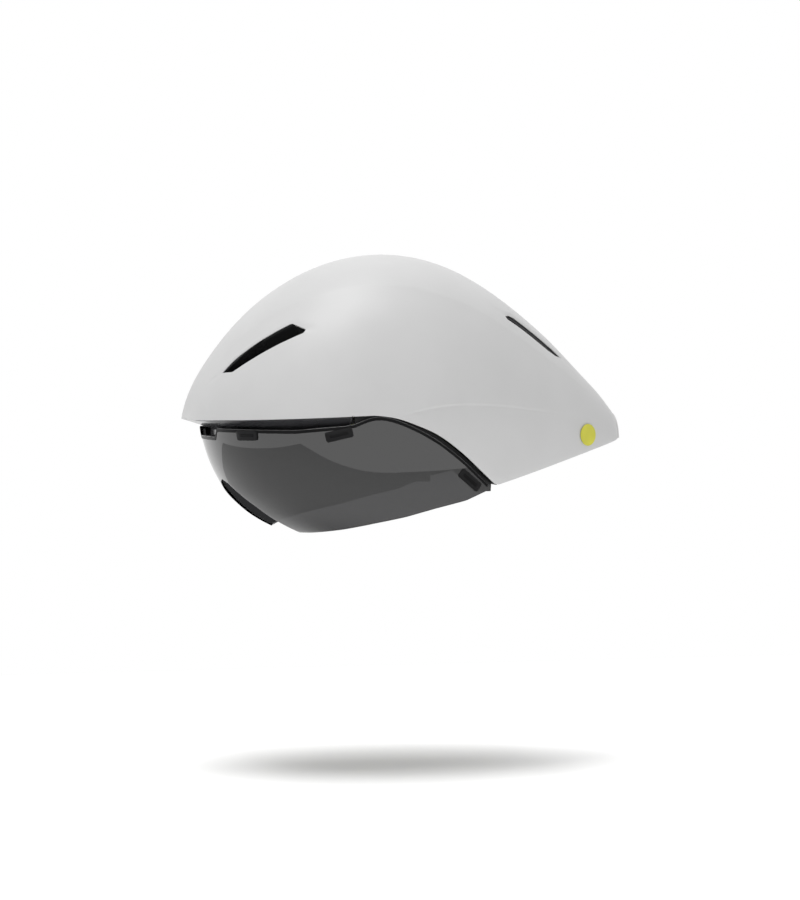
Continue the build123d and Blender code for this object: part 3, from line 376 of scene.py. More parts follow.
class Vent:
    """A slot's plane and outline, with the recessed lip along its upper side."""

    rim_gap = 0.55
    # Distances from the rim, and 1 for all points there, 2 for every second and 3 for every third
    ring_steps = ((0.35, 1), (0.85, 1), (1.6, 2), (2.6, 2), (3.9, 3))
    ring_share = 0.93
    lip_foot = 1.6
    reach = 16

    def __init__(self, place, run, out, outline, corner, slant, lip, lip_line, depth):
        self.place = np.array(place)
        self.run = unit(np.array(run))
        self.out = unit(np.array(out) - self.run * np.dot(out, self.run))
        self.side = np.cross(self.out, self.run)
        self.outline = round_corners(np.array(outline), corner)
        self.slant = unit(np.array(slant)) if slant else -self.out
        self.lip, self.lip_line, self.depth = lip, np.array(lip_line), depth

    def flat(self, points):
        """In plane coordinates along the run and the side, and the distance from the plane."""
        away = points - self.place
        return away @ self.run, away @ self.side, away @ self.out

    def rings(self):
        """Outline points about half a millimetre apart, and points outside it at growing distances."""
        closed = np.concatenate([self.outline, self.outline[:1]])
        runs = path_lengths(closed)
        count = int(runs[-1] / self.rim_gap)
        places = np.arange(count) * runs[-1] / count
        rim = np.stack([np.interp(places, runs, closed[:, k]) for k in (0, 1)], 1)
        run = np.roll(rim, -1, axis=0) - np.roll(rim, 1, axis=0)
        away = unit(np.stack([run[:, 1], -run[:, 0]], 1))
        if np.sum((rim - rim.mean(0)) * away) < 0:
            away = -away
        around = []
        for distance, skip in self.ring_steps:
            points = (rim + away * distance)[::skip]
            around.append(points[nearest(points, rim) > self.ring_share * distance])
        return rim, np.concatenate(around)

    def sink(self, u, w, off):
        """Depth of the recess.

        It is full at the slot's upper side, falls in a straight ramp to the lip line above it, and
        fades past the slot's ends.
        """
        line_u, low, width, full = self.lip_line.T
        base = np.interp(u, line_u, low)
        above = 1 - (w - base) / np.interp(u, line_u, width)
        below = 1 + (w - base) / self.lip_foot
        shape = np.where(w > base, np.clip(above, 0, 1), np.clip(below, 0, 1))
        return np.where(np.abs(off) < self.reach, self.lip * np.interp(u, line_u, full) * shape, 0)


# Outlines run round the slot in its plane. Lip lines hold place, foot, width and share of the full depth.
FRONT_VENT = Vent(
    place=(58.0, -84.0, 53.5),
    run=(0.421, 0.731, 0.536),
    out=(0.475, -0.681, 0.556),
    outline=(
        (-38.9, 5.9), (-31.0, 7.9), (-23.3, 8.6), (-7.5, 8.1), (8.4, 7.1), (23.2, 6.7),
        (31.4, -4.9), (28.8, -7.5), (16.8, -7.3), (3.5, -6.3), (-16.5, -4.1), (-29.7, -2.5),
    ),
    corner=1.2,
    slant=None,
    lip=1.25,
    lip_line=(
        (-54, 9.6, 0.9, 0.0), (-46, 7.4, 2.6, 0.35), (-39, 5.6, 3.6, 0.6), (-31, 7.6, 2.2, 0.8),
        (-23.3, 8.3, 1.8, 0.9), (-7.5, 7.8, 1.9, 1.0), (8.4, 6.8, 2.3, 1.0), (23.2, 6.2, 2.9, 1.0),
        (26.5, 1.8, 6.2, 1.0), (31.4, -5.4, 7.2, 0.8), (35, -6.6, 4.6, 0.5), (39.5, -7.4, 0.9, 0.0),
    ),
    depth=20.0,
)
REAR_VENT = Vent(
    place=(47.0, 113.5, 57.5),
    run=(-0.265, 0.804, -0.531),
    out=(0.56, 0.577, 0.593),
    outline=(
        (-28.9, 2.3), (-24.0, 7.6), (-18.4, 9.9), (-12.7, 9.7), (-1.8, 9.2), (10.0, 8.2), (20.7, 7.4),
        (30.4, 4.8), (22.0, -0.6), (14.0, -1.8), (3.5, -1.6), (-8.2, -0.9), (-18.0, -0.4), (-26.9, -0.4),
    ),
    corner=1.0,
    slant=(-0.25, -0.9, -0.36),
    lip=1.1,
    lip_line=(
        (-44, 3.0, 1.5, 0.0), (-34, 3.4, 3.4, 0.3), (-28.9, 3.0, 4.4, 0.5), (-24.0, 7.2, 3.6, 0.8),
        (-18.4, 9.5, 3.4, 1.0), (-1.8, 8.8, 3.4, 1.0), (10.0, 7.8, 3.4, 0.95), (20.7, 7.0, 3.2, 0.8),
        (30.4, 4.4, 3.4, 0.4), (44, 3.0, 1.5, 0.0),
    ),
    depth=14.0,
)
VENTS = {"front": FRONT_VENT, "rear": REAR_VENT}


# Soft crease along the upper side, as places and section angles, and the step above the skirt
CREASE_ANGLES = (
    (-126, 75), (-114, 73), (-80, 66), (-50, 60), (-20, 56), (10, 53),
    (40, 50), (70, 47), (115, 42.5), (150, 42), (187, 42),
)
CREASE_SPAN = (-118, 30, 176, 50)  # start and length of the fade in, end and length of the fade out
STEP_LINE = (
    (-18, 1.0), (-7.7, 4.1), (-0.8, 6.1), (11, 9.3), (28.3, 12.6), (45.1, 13.8),
    (62.7, 13.5), (78.9, 12.5), (99.8, 10.3), (121.4, 7.6), (144.6, 3.8), (187, -4.0),
)
STEP_SPAN = (-8, 22, 152, 60)
STEP_HEIGHT = 1.9  # of the band in which the step falls
NO_STEP = -99  # height where there is no step


def crease_angle(y):
    """Section angle of the upper crease at y."""
    places, angles = np.array(CREASE_ANGLES).T
    return np.radians(natural_spline(places, angles, y)[:, 0])


def step_height(y):
    """Height of the step's top at y."""
    places, heights = np.array(STEP_LINE).T
    height = natural_spline(places, heights, np.maximum(y, places[0]))[:, 0]
    return np.where(y < places[0], NO_STEP, height)


def faded(y, span):
    """Share that eases in from a start over a length, and out to an end over another."""
    start, rise, end, fall = span
    return ease((y - start) / rise) * ease((end - y) / fall)


def graded(stops, gaps):
    """Places from the first stop to the last, spaced in each stretch by its own gap."""
    runs = []
    for start, end, gap in zip(stops, stops[1:], gaps):
        count = max(int(round((end - start) / gap)), 1)
        runs.append(np.linspace(start, end, count + 1)[:-1])
    return np.r_[np.concatenate(runs), stops[-1]]


def sunk_depth(points, sizes):
    """How far the painted surface lies under the bare one at points on it.

    It is sunk under the crease, under the step and in the vents' recesses, and levels off at a limit
    so that the foam stays covered.
    """
    y = points[..., 1]
    width, rise, _ = section(y)
    angle = angle_at(y, points[..., 2])
    crease = crease_angle(y.ravel()).reshape(y.shape)
    below = np.clip(crease - angle, 0, None) * (width + rise) / 2 / sizes.crease_reach
    sunk = sizes.crease_depth * faded(y, CREASE_SPAN) * below * np.exp(1 - below)
    down = step_height(y.ravel()).reshape(y.shape) - points[..., 2]
    back = np.exp(-np.clip(down - STEP_HEIGHT, 0, None) / sizes.step_reach)
    sunk = sunk + sizes.step_depth * faded(y, STEP_SPAN) * ease(down / STEP_HEIGHT) * back
    for vent in VENTS.values():
        sunk = sunk + vent.sink(*vent.flat(points))
    return sizes.sink_limit * np.tanh(sunk / sizes.sink_limit)


def surface_share(points):
    """Superellipse value of points, 1 on the bare surface and less inside it."""
    width, rise, waist = section(points[..., 1])
    z = points[..., 2] - waist
    z = np.where(z > 0, z / rise, -z / rise / DEPTH_SHARE)
    return (np.abs(points[..., 0]) / width) ** SECTION_POWER + np.abs(z) ** SECTION_POWER


def surface_normal(points, step=0.02):
    """Outward direction in which the superellipse value grows fastest, by small steps each way."""
    slopes = [surface_share(points + step * axis) - surface_share(points - step * axis) for axis in np.eye(3)]
    return unit(np.stack(slopes, -1))


def drop_onto_surface(points, way, reach=25, halvings=40):
    """Points moved along a way onto the bare surface, by halving the step between inside and outside."""
    first = points - reach * way
    last = points + reach * way
    for _ in range(halvings):
        middle = (first + last) / 2
        outside = (surface_share(middle) > 1)[..., None]
        last = np.where(outside, middle, last)
        first = np.where(outside, first, middle)
    return (first + last) / 2


def inside(outline, points):
    """True where a flat point lies in a closed outline, by counting the sides that a ray crosses."""
    a, b = outline, np.roll(outline, -1, axis=0)
    u, w = points[:, :1], points[:, 1:]
    spans = (a[:, 1] > w) != (b[:, 1] > w)
    rise = np.where(spans, b[:, 1] - a[:, 1], 1)
    return np.sum(spans & (u < a[:, 0] + (w - a[:, 1]) / rise * (b[:, 0] - a[:, 0])), -1) % 2 == 1


PATCH_MARGINS = (12, 8)  # of the block beyond the slot's ends and sides
PATCH_REACH = 20  # of the block from the slot's plane
PATCH_GAP = 4.6  # least distance of a kept grid point from the slot
LOOP_GAP = 0.8  # least distance of a new point from the block's rim


def nearest(points, others):
    """Distance from each point to the nearest of the others."""
    return np.min(np.linalg.norm(points[:, None] - others[None], axis=2), 1)


def block_rim(faces):
    """Points round a block of faces, in order."""
    edges = np.concatenate([faces[:, [k, (k + 1) % 4]] for k in range(4)])
    pairs = set(map(tuple, edges.tolist()))
    following = {a: b for a, b in pairs if (b, a) not in pairs}
    loop = [next(iter(following))]
    while following[loop[-1]] != loop[0]:
        loop.append(following[loop[-1]])
    return loop


def vent_patch(points, faces, vent):
    """Takes a block of the grid out round a slot and fills it with triangles up to the slot's outline.

    The triangles join the block's rim, the kept grid points, the outline and rows of points round it, all
    on the bare surface. Returns the quads that stay, the new points, the triangles and the slot's rim.
    """
    u, w, off = vent.flat(points)
    flat = np.stack([u, w], 1)
    half = np.ptp(vent.outline, axis=0) / 2 + PATCH_MARGINS
    middle = (vent.outline.max(0) + vent.outline.min(0)) / 2
    near = (np.sum(((flat - middle) / half) ** 2, 1) < 1) & (np.abs(off) < PATCH_REACH)
    core = np.all(near[faces], axis=1)
    kept, gone = faces[~core], faces[core]
    loop = block_rim(gone)
    loop_flat = flat[loop]
    rim, around = vent.rings()
    free = np.setdiff1d(np.unique(gone), loop)
    free = free[(nearest(flat[free], rim) > PATCH_GAP) & ~inside(rim, flat[free])]
    around = around[inside(loop_flat, around)]
    around = around[nearest(around, loop_flat) > LOOP_GAP]
    made = np.concatenate([rim, around])
    place = vent.place + made[:, :1] * vent.run + made[:, 1:] * vent.side
    fresh = drop_onto_surface(place, vent.out)
    index = np.concatenate([loop, free, len(points) + np.arange(len(made))]).astype(int)
    sites = np.concatenate([loop_flat, flat[free], made])
    fixed = []
    for first, count in ((0, len(loop)), (len(loop) + len(free), len(rim))):
        fixed += [(first + k, first + (k + 1) % count) for k in range(count)]
    _, _, triangles, source, _, _ = delaunay_2d_cdt([Vector(site) for site in sites], fixed, [], 0, 1e-4)
    triangles = np.array([[source[corner][0] for corner in triangle] for triangle in triangles])
    centres = sites[triangles].mean(1)
    triangles = triangles[inside(loop_flat, centres) & ~inside(rim, centres)]
    return kept, fresh, index[triangles], len(points) + np.arange(len(rim))


# Rows: the places where their spacing changes, and the spacings from brow to tail
ROW_STOPS, ROW_GAPS = (-122, -50, 78, 158), (1.4, 1.9, 3.2, 1.9, 1.9)
# Columns in the skirt, the step, the side, the crease and the crown
COLUMN_COUNTS = (9, 4, 38, 5, 28)


def shell_grid(sizes):
    """Places of the rows from brow to tail, and section angles of the columns from the lower edge up.

    Columns gather at the step and at the crease.
    """
    end = STATION_ROWS[-1, 0] - sizes.tail_round
    stops = [np.interp(y, STATION_ROWS[:, 0], STATION_PLACES) for y in (STATION_ROWS[0, 0], *ROW_STOPS, end)]
    y = np.interp(graded(stops, ROW_GAPS), STATION_PLACES, STATION_ROWS[:, 0])
    low = angle_at(y, edge_height(y))
    crease = crease_angle(y)
    step = step_height(y)
    top_of_step = np.clip(angle_at(y, step), low + 0.06, low + 0.5 * (crease - low))
    foot_of_step = np.clip(angle_at(y, step - STEP_HEIGHT), low + 0.03, top_of_step - 0.012)
    marks = [low, foot_of_step, top_of_step, crease - 0.05, crease + 0.03, np.full_like(y, QUARTER)]
    columns = []
    for first, last, count in zip(marks, marks[1:], COLUMN_COUNTS):
        columns.append(first[:, None] + (last - first)[:, None] * np.arange(count) / count)
    return y, np.concatenate([*columns, marks[-1][:, None]], 1)


def tail_end(last, centre, radius):
    """Rows that turn over a small round from the last row onto the flat tail end, and close it."""
    end = centre[1]
    rows = []
    far = np.linalg.norm(last - centre, axis=1, keepdims=True)
    for turn in np.linspace(0, QUARTER, 5)[1:]:
        inset = radius * (1 - math.cos(turn))
        row = centre + (last - centre) * np.clip(1 - inset / np.maximum(far, 1e-6), 0, 1)
        row[:, 1] = end - radius + radius * math.sin(turn)
        rows.append(row)
    rim = rows[-1]
    for share in (0.8, 0.6, 0.4, 0.2, 0.0):
        row = centre + (rim - centre) * share
        row[:, 1] = end
        rows.append(row)
    return rows


def shell_half(sizes):
    """Left half of the painted surface, from the lower edge up to the middle plane.

    Rings round each slot take the grid's place there. Every point is sunk along the bare surface's
    normal, then rows close the tail and the nose. Returns points, sets of faces and the slots' rims.
    """
    y, angles = shell_grid(sizes)
    rows, columns = angles.shape
    points = surface_at(y[:, None], angles).reshape(-1, 3)
    faces = grid_faces(rows, columns)
    rims, patches = [], []
    for vent in VENTS.values():
        faces, fresh, patch, rim = vent_patch(points, faces, vent)
        points = np.concatenate([points, fresh])
        patches.append(patch)
        rims.append(rim)
    sunk = points - surface_normal(points) * sunk_depth(points, sizes)[:, None]
    sunk[np.abs(points[:, 0]) < 1e-6, 0] = 0
    end, start = STATION_ROWS[-1, 0], y[0]
    last = np.arange((rows - 1) * columns, rows * columns)
    tail = tail_end(sunk[last], np.array([0, end, edge_height(end)]), sizes.tail_round)
    nose_centre = np.array([0, start, edge_height(start)])
    nose = [nose_centre + (sunk[:columns] - nose_centre) * share for share in (0.0, 0.5)]
    extra = len(sunk) + np.arange((len(tail) + len(nose)) * columns).reshape(-1, columns)
    caps = []
    for index in (np.r_[[last], extra[: len(tail)]], np.r_[extra[len(tail) :], [np.arange(columns)]]):
        caps.append(index.reshape(-1)[grid_faces(*index.shape)])
    points = np.concatenate([sunk, *tail, *nose])
    return points, [np.concatenate([faces, *caps]), *patches], [points[rim] for rim in rims]


def both_sides(points, face_sets):
    """Left half and its mirror image, sharing the points on the middle plane."""
    count = len(points)
    twin = np.arange(count) + count
    on_plane = np.abs(points[:, 0]) < 1e-6
    twin[on_plane] = np.arange(count)[on_plane]
    sets = [side for faces in face_sets for side in (faces, twin[faces][:, ::-1])]
    return np.concatenate([points, points * MIRROR]), sets


def tidy_faces(faces):
    """Faces as lists, with a corner that repeats its neighbour dropped, and faces with no area left out."""
    result = [[p for i, p in enumerate(face) if p != face[i - 1]] for face in faces]
    return [face for face in result if len(face) > 2]


def merge_poles(points, face_sets, decimals=5):
    """Points that share a place become one, and points of no face go."""
    keys = np.round(points, decimals)
    _, first, back = np.unique(keys, axis=0, return_index=True, return_inverse=True)
    faces = [face for one in face_sets for face in tidy_faces(back.reshape(-1)[one].tolist())]
    used = np.unique(np.concatenate([np.array(face) for face in faces]))
    place = np.zeros(len(first), int)
    place[used] = np.arange(len(used))
    return points[first][used], [place[face].tolist() for face in faces]


# Materials


def shell_paint(colour):
    """White paint over moulded polycarbonate: an even white, a wide soft highlight and faint orange peel."""
    made, tree = new_material("gloss_white_paint")
    # Orange peel about 1.7 mm across, too shallow to see but in a highlight
    peel = noise(tree, 600.0, 2.0)
    cloud = noise(tree, 18.0, 3.0)
    inputs = {
        "Base Color": mixed(tree, ranged(tree, cloud, 0.35, 0.65, 0, 1), shade(colour, 0.965), colour),
        "Roughness": ranged(tree, cloud, 0.3, 0.7, 0.46, 0.42),
        "IOR": 1.45,
        "Normal": bump(tree, peel, 0.05, 0.2),
    }
    return principled(made, inputs)


def moulded_plastic(colour, name, roughness, grain, depth, ior=1.5, coat=0.0):
    """Moulded plastic: a fine spark eroded grain, an even sheen and a colour that shifts in large clouds."""
    made, tree = new_material(name)
    texture = noise(tree, grain, 3.0)
    cloud = noise(tree, 40.0, 2.0)
    bright = tuple(min(c * 1.25 + 0.001, 1) for c in colour)
    inputs = {
        "Base Color": mixed(tree, ranged(tree, cloud, 0.35, 0.65, 0, 1), colour, bright),
        "Roughness": ranged(tree, texture, 0.3, 0.7, roughness, roughness + 0.08),
        "IOR": ior,
        "Coat Weight": coat,
        "Coat Roughness": 0.08,
        "Normal": bump(tree, texture, 0.25, depth),
    }
    return principled(made, inputs)


def bead_foam(colour):
    """Expanded polystyrene: beads about 3.5 mm across pressed flat, with dark joints and a dull skin."""
    made, tree = new_material("expanded_polystyrene")
    bead = {"Vector": own_place(tree), "Scale": 285.0}
    cells = add_node(tree, "ShaderNodeTexVoronoi", bead, feature="DISTANCE_TO_EDGE")
    tone = add_node(tree, "ShaderNodeTexVoronoi", bead)
    joint = ranged(tree, cells.outputs["Distance"], 0.0, 0.16, 0, 1)
    grey = add_node(tree, "ShaderNodeRGBToBW", {"Color": tone.outputs["Color"]}).outputs["Val"]
    inputs = {
        "Base Color": mixed(tree, joint, shade(colour, 0.45), mixed(tree, grey, colour, shade(colour, 1.6))),
        "Roughness": 0.62,
        "IOR": 1.4,
        "Specular IOR Level": 0.3,
        "Normal": bump(tree, joint, 0.5, 0.4),
    }
    return principled(made, inputs)


def smoke_lens(colour, name, gloss):
    """Smoke grey polycarbonate, its grey deepening through two walls: gloss coated outside, bare inside."""
    made, tree = new_material(name)
    ripple = noise(tree, 12.0, 1.0)
    # The coat answers only to light that comes from its own side, as a thin sheet's does
    behind = add_node(tree, "ShaderNodeNewGeometry").outputs["Backfacing"]
    inputs = {
        "Base Color": (*colour, 1),
        "Roughness": ranged(tree, ripple, 0.3, 0.7, 0.01, 0.02),
        "IOR": 1.02,
        "Transmission Weight": 1.0,
        "Coat Weight": ranged(tree, behind, 0, 1, gloss, 0),
        "Coat Roughness": 0.02,
        "Coat IOR": 1.95,
    }
    return principled(made, inputs)


def webbing(colour, thread=0.9):
    """Woven polyester webbing: threads along and across the strap on its own UV map, with painted shade
    between the threads, a painted highlight on their tops and a soft sheen.
    """
    made, tree = new_material("woven_polyester")
    uv = add_node(tree, "ShaderNodeUVMap", uv_map="weave").outputs["UV"]
    split = add_node(tree, "ShaderNodeSeparateXYZ", {"Vector": uv})
    waves = []
    for axis in ("X", "Y"):
        turn = maths(tree, "MULTIPLY", split.outputs[axis], 2 * math.pi / thread)
        waves.append(maths(tree, "SINE", turn))
    height = ranged(tree, maths(tree, "MULTIPLY", *waves), -1, 1, 0, 1)
    inputs = {
        # The colour follows the weave's height: painted shade in the hollows between threads and a painted
        # highlight on their raised tops
        "Base Color": mixed(tree, height, shade(colour, 0.5), shade(colour, 1.5)),
        "Roughness": 0.75,
        "Sheen Weight": 0.3,
        "Sheen Roughness": 0.4,
        "Normal": bump(tree, height, 0.6, 0.3),
    }
    return principled(made, inputs)


def brushed_knit(colour):
    """Brushed knit over pad foam: fibres about 0.6 mm long give a soft sheen over a fine mottle."""
    made, tree = new_material("brushed_knit")
    fibre = noise(tree, 1700.0, 4.0)
    mottle = noise(tree, 260.0, 2.0)
    inputs = {
        "Base Color": mixed(tree, mottle, shade(colour, 0.6), shade(colour, 1.6)),
        "Roughness": 0.9,
        "Sheen Weight": 0.5,
        "Sheen Roughness": 0.5,
        "Normal": bump(tree, fibre, 0.7, 0.5),
    }
    return principled(made, inputs)


def plated_steel(colour, name, roughness):
    """Plated steel: bright metal with fine turned marks about 0.3 mm apart."""
    made, tree = new_material(name)
    marks = noise(tree, 3000.0, 1.0)
    inputs = {
        "Base Color": mixed(tree, marks, shade(colour, 0.9), colour),
        "Metallic": 1.0,
        "Roughness": ranged(tree, marks, 0.3, 0.7, roughness, roughness + 0.1),
        "Normal": bump(tree, marks, 0.15, 0.05),
    }
    return principled(made, inputs)


# Each finish: its function, its colour's name and what else the function takes
FINISHES = {
    "paint": (shell_paint, "shell"),
    "foam": (bead_foam, "foam"),
    "gloss_black": (moulded_plastic, "trim", "gloss_black_abs", 0.16, 900.0, 0.03, 1.5, 0.3),
    "satin_black": (moulded_plastic, "fittings", "satin_black_nylon", 0.42, 2200.0, 0.12),
    "duct_black": (moulded_plastic, "ducts", "matt_black_duct", 0.55, 1800.0, 0.1, 1.4),
    "pad_plastic": (moulded_plastic, "holders", "dark_grey_holder", 0.38, 2000.0, 0.1, 1.25),
    "bar_plastic": (moulded_plastic, "ducts", "black_magnet_cover", 0.3, 1500.0, 0.06, 1.2),
    "flex_nylon": (moulded_plastic, "fittings", "flexible_nylon", 0.5, 1300.0, 0.15),
    "slip_sheet": (moulded_plastic, "slip", "satin_slip_sheet", 0.33, 1200.0, 0.08),
    "elastomer": (moulded_plastic, "elastomer", "soft_elastomer", 0.6, 1100.0, 0.1),
    "vinyl": (moulded_plastic, "disc", "yellow_vinyl", 0.35, 1500.0, 0.04),
    "lens": (smoke_lens, "lens", "smoke_polycarbonate", 1.0),
    "lens_inside": (smoke_lens, "lens", "smoke_polycarbonate_inside", 0.0),
    "webbing": (webbing, "straps"),
    "knit": (brushed_knit, "pads"),
    "magnet": (plated_steel, "magnet", "nickel_plated_magnet", 0.25),
    "screw": (plated_steel, "screws", "zinc_plated_steel", 0.35),
}
MATERIALS = {}


def material(name):
    """One of the helmet's materials, made when it is first asked for."""
    if name not in MATERIALS:
        maker, tone, *rest = FINISHES[name]
        MATERIALS[name] = maker(getattr(bpy.context.scene.helmet_colours, tone), *rest)
    return MATERIALS[name]


# Properties


def length(name, description, default):
    """A length property in millimetres."""
    text = description + ", in millimetres"
    return bpy.props.FloatProperty(name=name, description=text, default=default, min=0.0)


def colour(name, description, hex_colour):
    """A colour property from an sRGB hex value."""
    settings = {"default": linear(hex_colour), "size": 3, "subtype": "COLOR", "min": 0.0, "max": 1.0}
    return bpy.props.FloatVectorProperty(name=name, description=description, **settings)


class HelmetSizes(bpy.types.PropertyGroup):
    """Sizes of the helmet's details."""

    shell_wall: length("Shell wall", "Thickness of the painted shell", 1.5)
    tail_round: length("Tail round", "Round where the side turns onto the tail end", 1.6)
    crease_depth: length("Crease depth", "How far the side is sunk under the upper crease", 1.1)
    crease_reach: length("Crease reach", "Distance under the crease at which the side is sunk most", 20.0)
    step_depth: length("Step depth", "Height of the step over the skirt", 0.95)
    sink_limit: length("Sink limit", "Depth at which the painted surface's sunk places level off", 1.65)
    step_reach: length("Step reach", "Distance over which the skirt comes back out under the step", 26.0)
    lens_wall: length("Lens wall", "Thickness of the shield", 2.0)
    strap_wall: length("Strap thickness", "Thickness of the webbing", 1.4)
    duct_wall: length("Duct wall", "Thickness of the vent ducts", 0.5)
    floor_drop: length("Floor drop", "Height of the helmet's origin over the floor", 247.0)


class HelmetColours(bpy.types.PropertyGroup):
    """Colours of the helmet's finishes."""

    shell: colour("Shell", "White paint of the shell", "#D6D6D6")
    foam: colour("Foam", "Black expanded polystyrene", "#19191B")
    trim: colour("Trim", "Gloss black bezel", "#2C2C2E")
    fittings: colour("Fittings", "Satin black nylon", "#1C1C1D")
    ducts: colour("Ducts", "Matt black vent ducts", "#101011")
    holders: colour("Holders", "Dark grey magnet holders", "#161617")
    slip: colour("Slip liner", "Yellow slip liner sheet", "#C9C53A")
    elastomer: colour("Elastomer", "Soft yellow anchors", "#B8B23A")
    disc: colour("Disc", "Plain yellow vinyl disc", "#C9C63C")
    lens: colour("Lens", "Tint of the smoke lens", "#2E2E2F")
    straps: colour("Straps", "Black webbing", "#1E1E1F")
    pads: colour("Pads", "Dark brushed knit", "#1B1B1C")
    magnet: colour("Magnets", "Nickel plating", "#C8C6C0")
    screws: colour("Screws", "Zinc plating", "#B4B6B8")


# Pieces

SIDES = (("left", 1), ("right", -1))


class HELMET_OT_shell(bpy.types.Operator):
    """Painted outer shell with its creases and cut vents, and the black ducts that line the vents"""

    bl_idname = "helmet.shell"
    bl_label = "Shell and vents"

    duct_start, duct_inset = 0.45, 0.12

    def execute(self, context):
        sizes = context.scene.helmet_sizes
        points, faces, rims = shell_half(sizes)
        points, faces = merge_poles(*both_sides(points, faces))
        shell = make_piece("painted_shell", points, faces, material("paint"), "helmet", smooth_angle=50)
        add_wall(shell, sizes.shell_wall, even=False)
        add_bevel(shell, 0.3, 2, 60)
        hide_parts("outer_shell")
        for rim, (name, vent) in zip(rims, VENTS.items()):
            for side, flip in SIDES:
                self.duct(sizes, rim, vent, name, side, flip)
        return {"FINISHED"}

    def duct(self, sizes, rim, vent, name, side, flip):
        """Tube down from under the slot's rim along the vent's way, drawn in a little from the rim."""
        u, _, off = vent.flat(rim)
        inward = vent.place + np.outer(u, vent.run) + np.outer(off, vent.out) - rim
        inward /= np.maximum(np.linalg.norm(inward, axis=1, keepdims=True), 1e-6)
        steps = np.linspace(self.duct_start, vent.depth, 8)
        grid = (rim + inward * self.duct_inset + steps[:, None, None] * vent.slant) * (flip, 1, 1)
        points = grid.reshape(-1, 3)
        faces = grid_faces(len(steps), len(rim), closed=True)
        faces = turned(points, faces, 0, grid.mean((0, 1)), away=-1)
        finish = material("duct_black")
        duct = make_piece(f"{name}_duct_{side}", points, faces, finish, "helmet", smooth_angle=60)
        add_wall(duct, sizes.duct_wall, even=False)
        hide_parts(f"{name}_vent_duct_{side}")


class HELMET_OT_bezel(bpy.types.Operator):
    """Gloss black bezel under the brow and the trims along the arched side edges"""

    bl_idname = "helmet.bezel"
    bl_label = "Bezel and trims"

    front, side, power = 107.0, 96.0, 2.3
    bend, low, wall, end = -5.5, -12.0, 3.5, -33.0
    tuck, clear = 0.5, 0.2  # its top lies inside the shell's outer face and under its lower edge

    def foot(self, share, inset):
        """Foot points at shares of the way to the front: y runs there and x follows the superellipse."""
        y = self.end - (self.front - inset + self.end) * share
        ahead = np.clip(-y / (self.front - inset), 0, 1)
        x = (self.side - inset) * (1 - ahead**self.power) ** (1 / self.power)
        x[-1] = 0
        return x, y

    def execute(self, context):
        share = np.sin(np.linspace(0, QUARTER, 70)) ** (2 / self.power)
        share[-1] = 1.0
        lines = []
        for inset, order in ((0.0, 1), (self.wall, -1)):
            top_y = self.end - (SHELL_FRONT - self.tuck - inset + self.end) * share
            top_x = section(top_y)[0] - self.tuck - inset
            top_x[-1] = 0
            x, y = self.foot(share, inset)
            three = [np.stack([top_x, top_y, edge_height(top_y) - self.clear], -1)]
            three += [np.stack([x, y, np.full_like(x, height)], -1) for height in (self.bend, self.low)]
            lines += three[::order]
        half = np.stack(lines, 1)
        grid = np.concatenate([half, (half * MIRROR)[::-1][1:]])
        faces = tube_faces(*grid.shape[:2], reverse=True)
        bezel = make_piece("brow_bezel_trim", grid, faces, material("gloss_black"), "helmet")
        add_bevel(bezel, 0.7, 3, 25)
        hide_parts("brow_bezel")
        coat_nodes("satin_black", "arch_trim_left", "arch_trim_right")
        return {"FINISHED"}


# Shield: shares of its drop, forward half axis and side half axis, then its edges as places and heights

LENS_FRONT, LENS_HALF, LENS_DROP, LENS_POWER = 114.5, 104.3, 82.0, 2.3
LENS_ROWS = np.array(
    [
        (-0.085, 1.0, 1.0),
        (0.085, 0.996, 0.997),
        (0.244, 0.969, 0.989),
        (0.390, 0.930, 0.976),
        (0.512, 0.885, 0.959),
        (0.610, 0.840, 0.940),
        (0.707, 0.777, 0.919),
        (0.805, 0.699, 0.887),
        (0.902, 0.594, 0.839),
        (1.0, 0.454, 0.767),
    ]
)
LENS_REAR = 84.0
LENS_TOP = ((-125.0, -4.8), (-110.0, -4.3), (-70.0, -4.3), (-53.0, -2.6), (-37.0, -1.2), (-30.0, 0.2))
LENS_GAP = 4.5  # under the arch, and its shares at the arch's points
LENS_GAPS = (0.22, 0.26, 0.50, 0.85, 1.0, 1.0, 1.0, 1.0)
LENS_BOTTOM = (
    (-120.0, -78.0), (-75.0, -78.0), (-62.0, -77.5), (-51.0, -76.5), (-34.0, -73.3), (-14.0, -68.9),
    (7.0, -64.7), (28.0, -59.1), (51.0, -53.8), (71.0, -45.5), (85.0, -40.0),
)
NOSE_NOTCH = ((0, -41), (12, -43.5), (22.6, -50), (33, -60), (39, -70), (45, -80), (48, -90))
TOP_NOTCH = ((0, -10.4), (24, -10.4), (30, -2.0), (31, 10))


def lens_axes(z):
    """Forward and side half axes of the lens at a height, on a spline through its rows."""
    axes = natural_spline(LENS_ROWS[:, 0], LENS_ROWS[:, 1:], np.ravel(-z / LENS_DROP))
    shape = np.shape(z)
    return axes[:, 0].reshape(shape) * LENS_FRONT, axes[:, 1].reshape(shape) * LENS_HALF


def lens_at(run, z):
    """Point of the lens's outer face.

    The run goes from 0 at the middle of the front to 1 at the widest place along a superellipse, and
    on to 2 at the rear end along the shell's plan.
    """
    forward, side = lens_axes(z)
    turn = np.clip(run, 0, 1) * QUARTER
    x = side * np.sin(turn) ** (2 / LENS_POWER)
    y = -forward * np.cos(turn) ** (2 / LENS_POWER)
    back = np.clip(run - 1, 0, 1) * LENS_REAR
    x = np.where(run > 1, side * section(back)[0] / section(np.zeros(1))[0], x)
    return np.stack([x, np.where(run > 1, back, y), z], -1)


def lens_frame(run, z, step=1e-3):
    """Points of the lens's outer face and its outward directions there."""
    ahead = lens_at(run + step, z) - lens_at(run - step, z)
    above = lens_at(run, z + step) - lens_at(run, z - step)
    return lens_at(run, z), unit(np.cross(ahead, above))


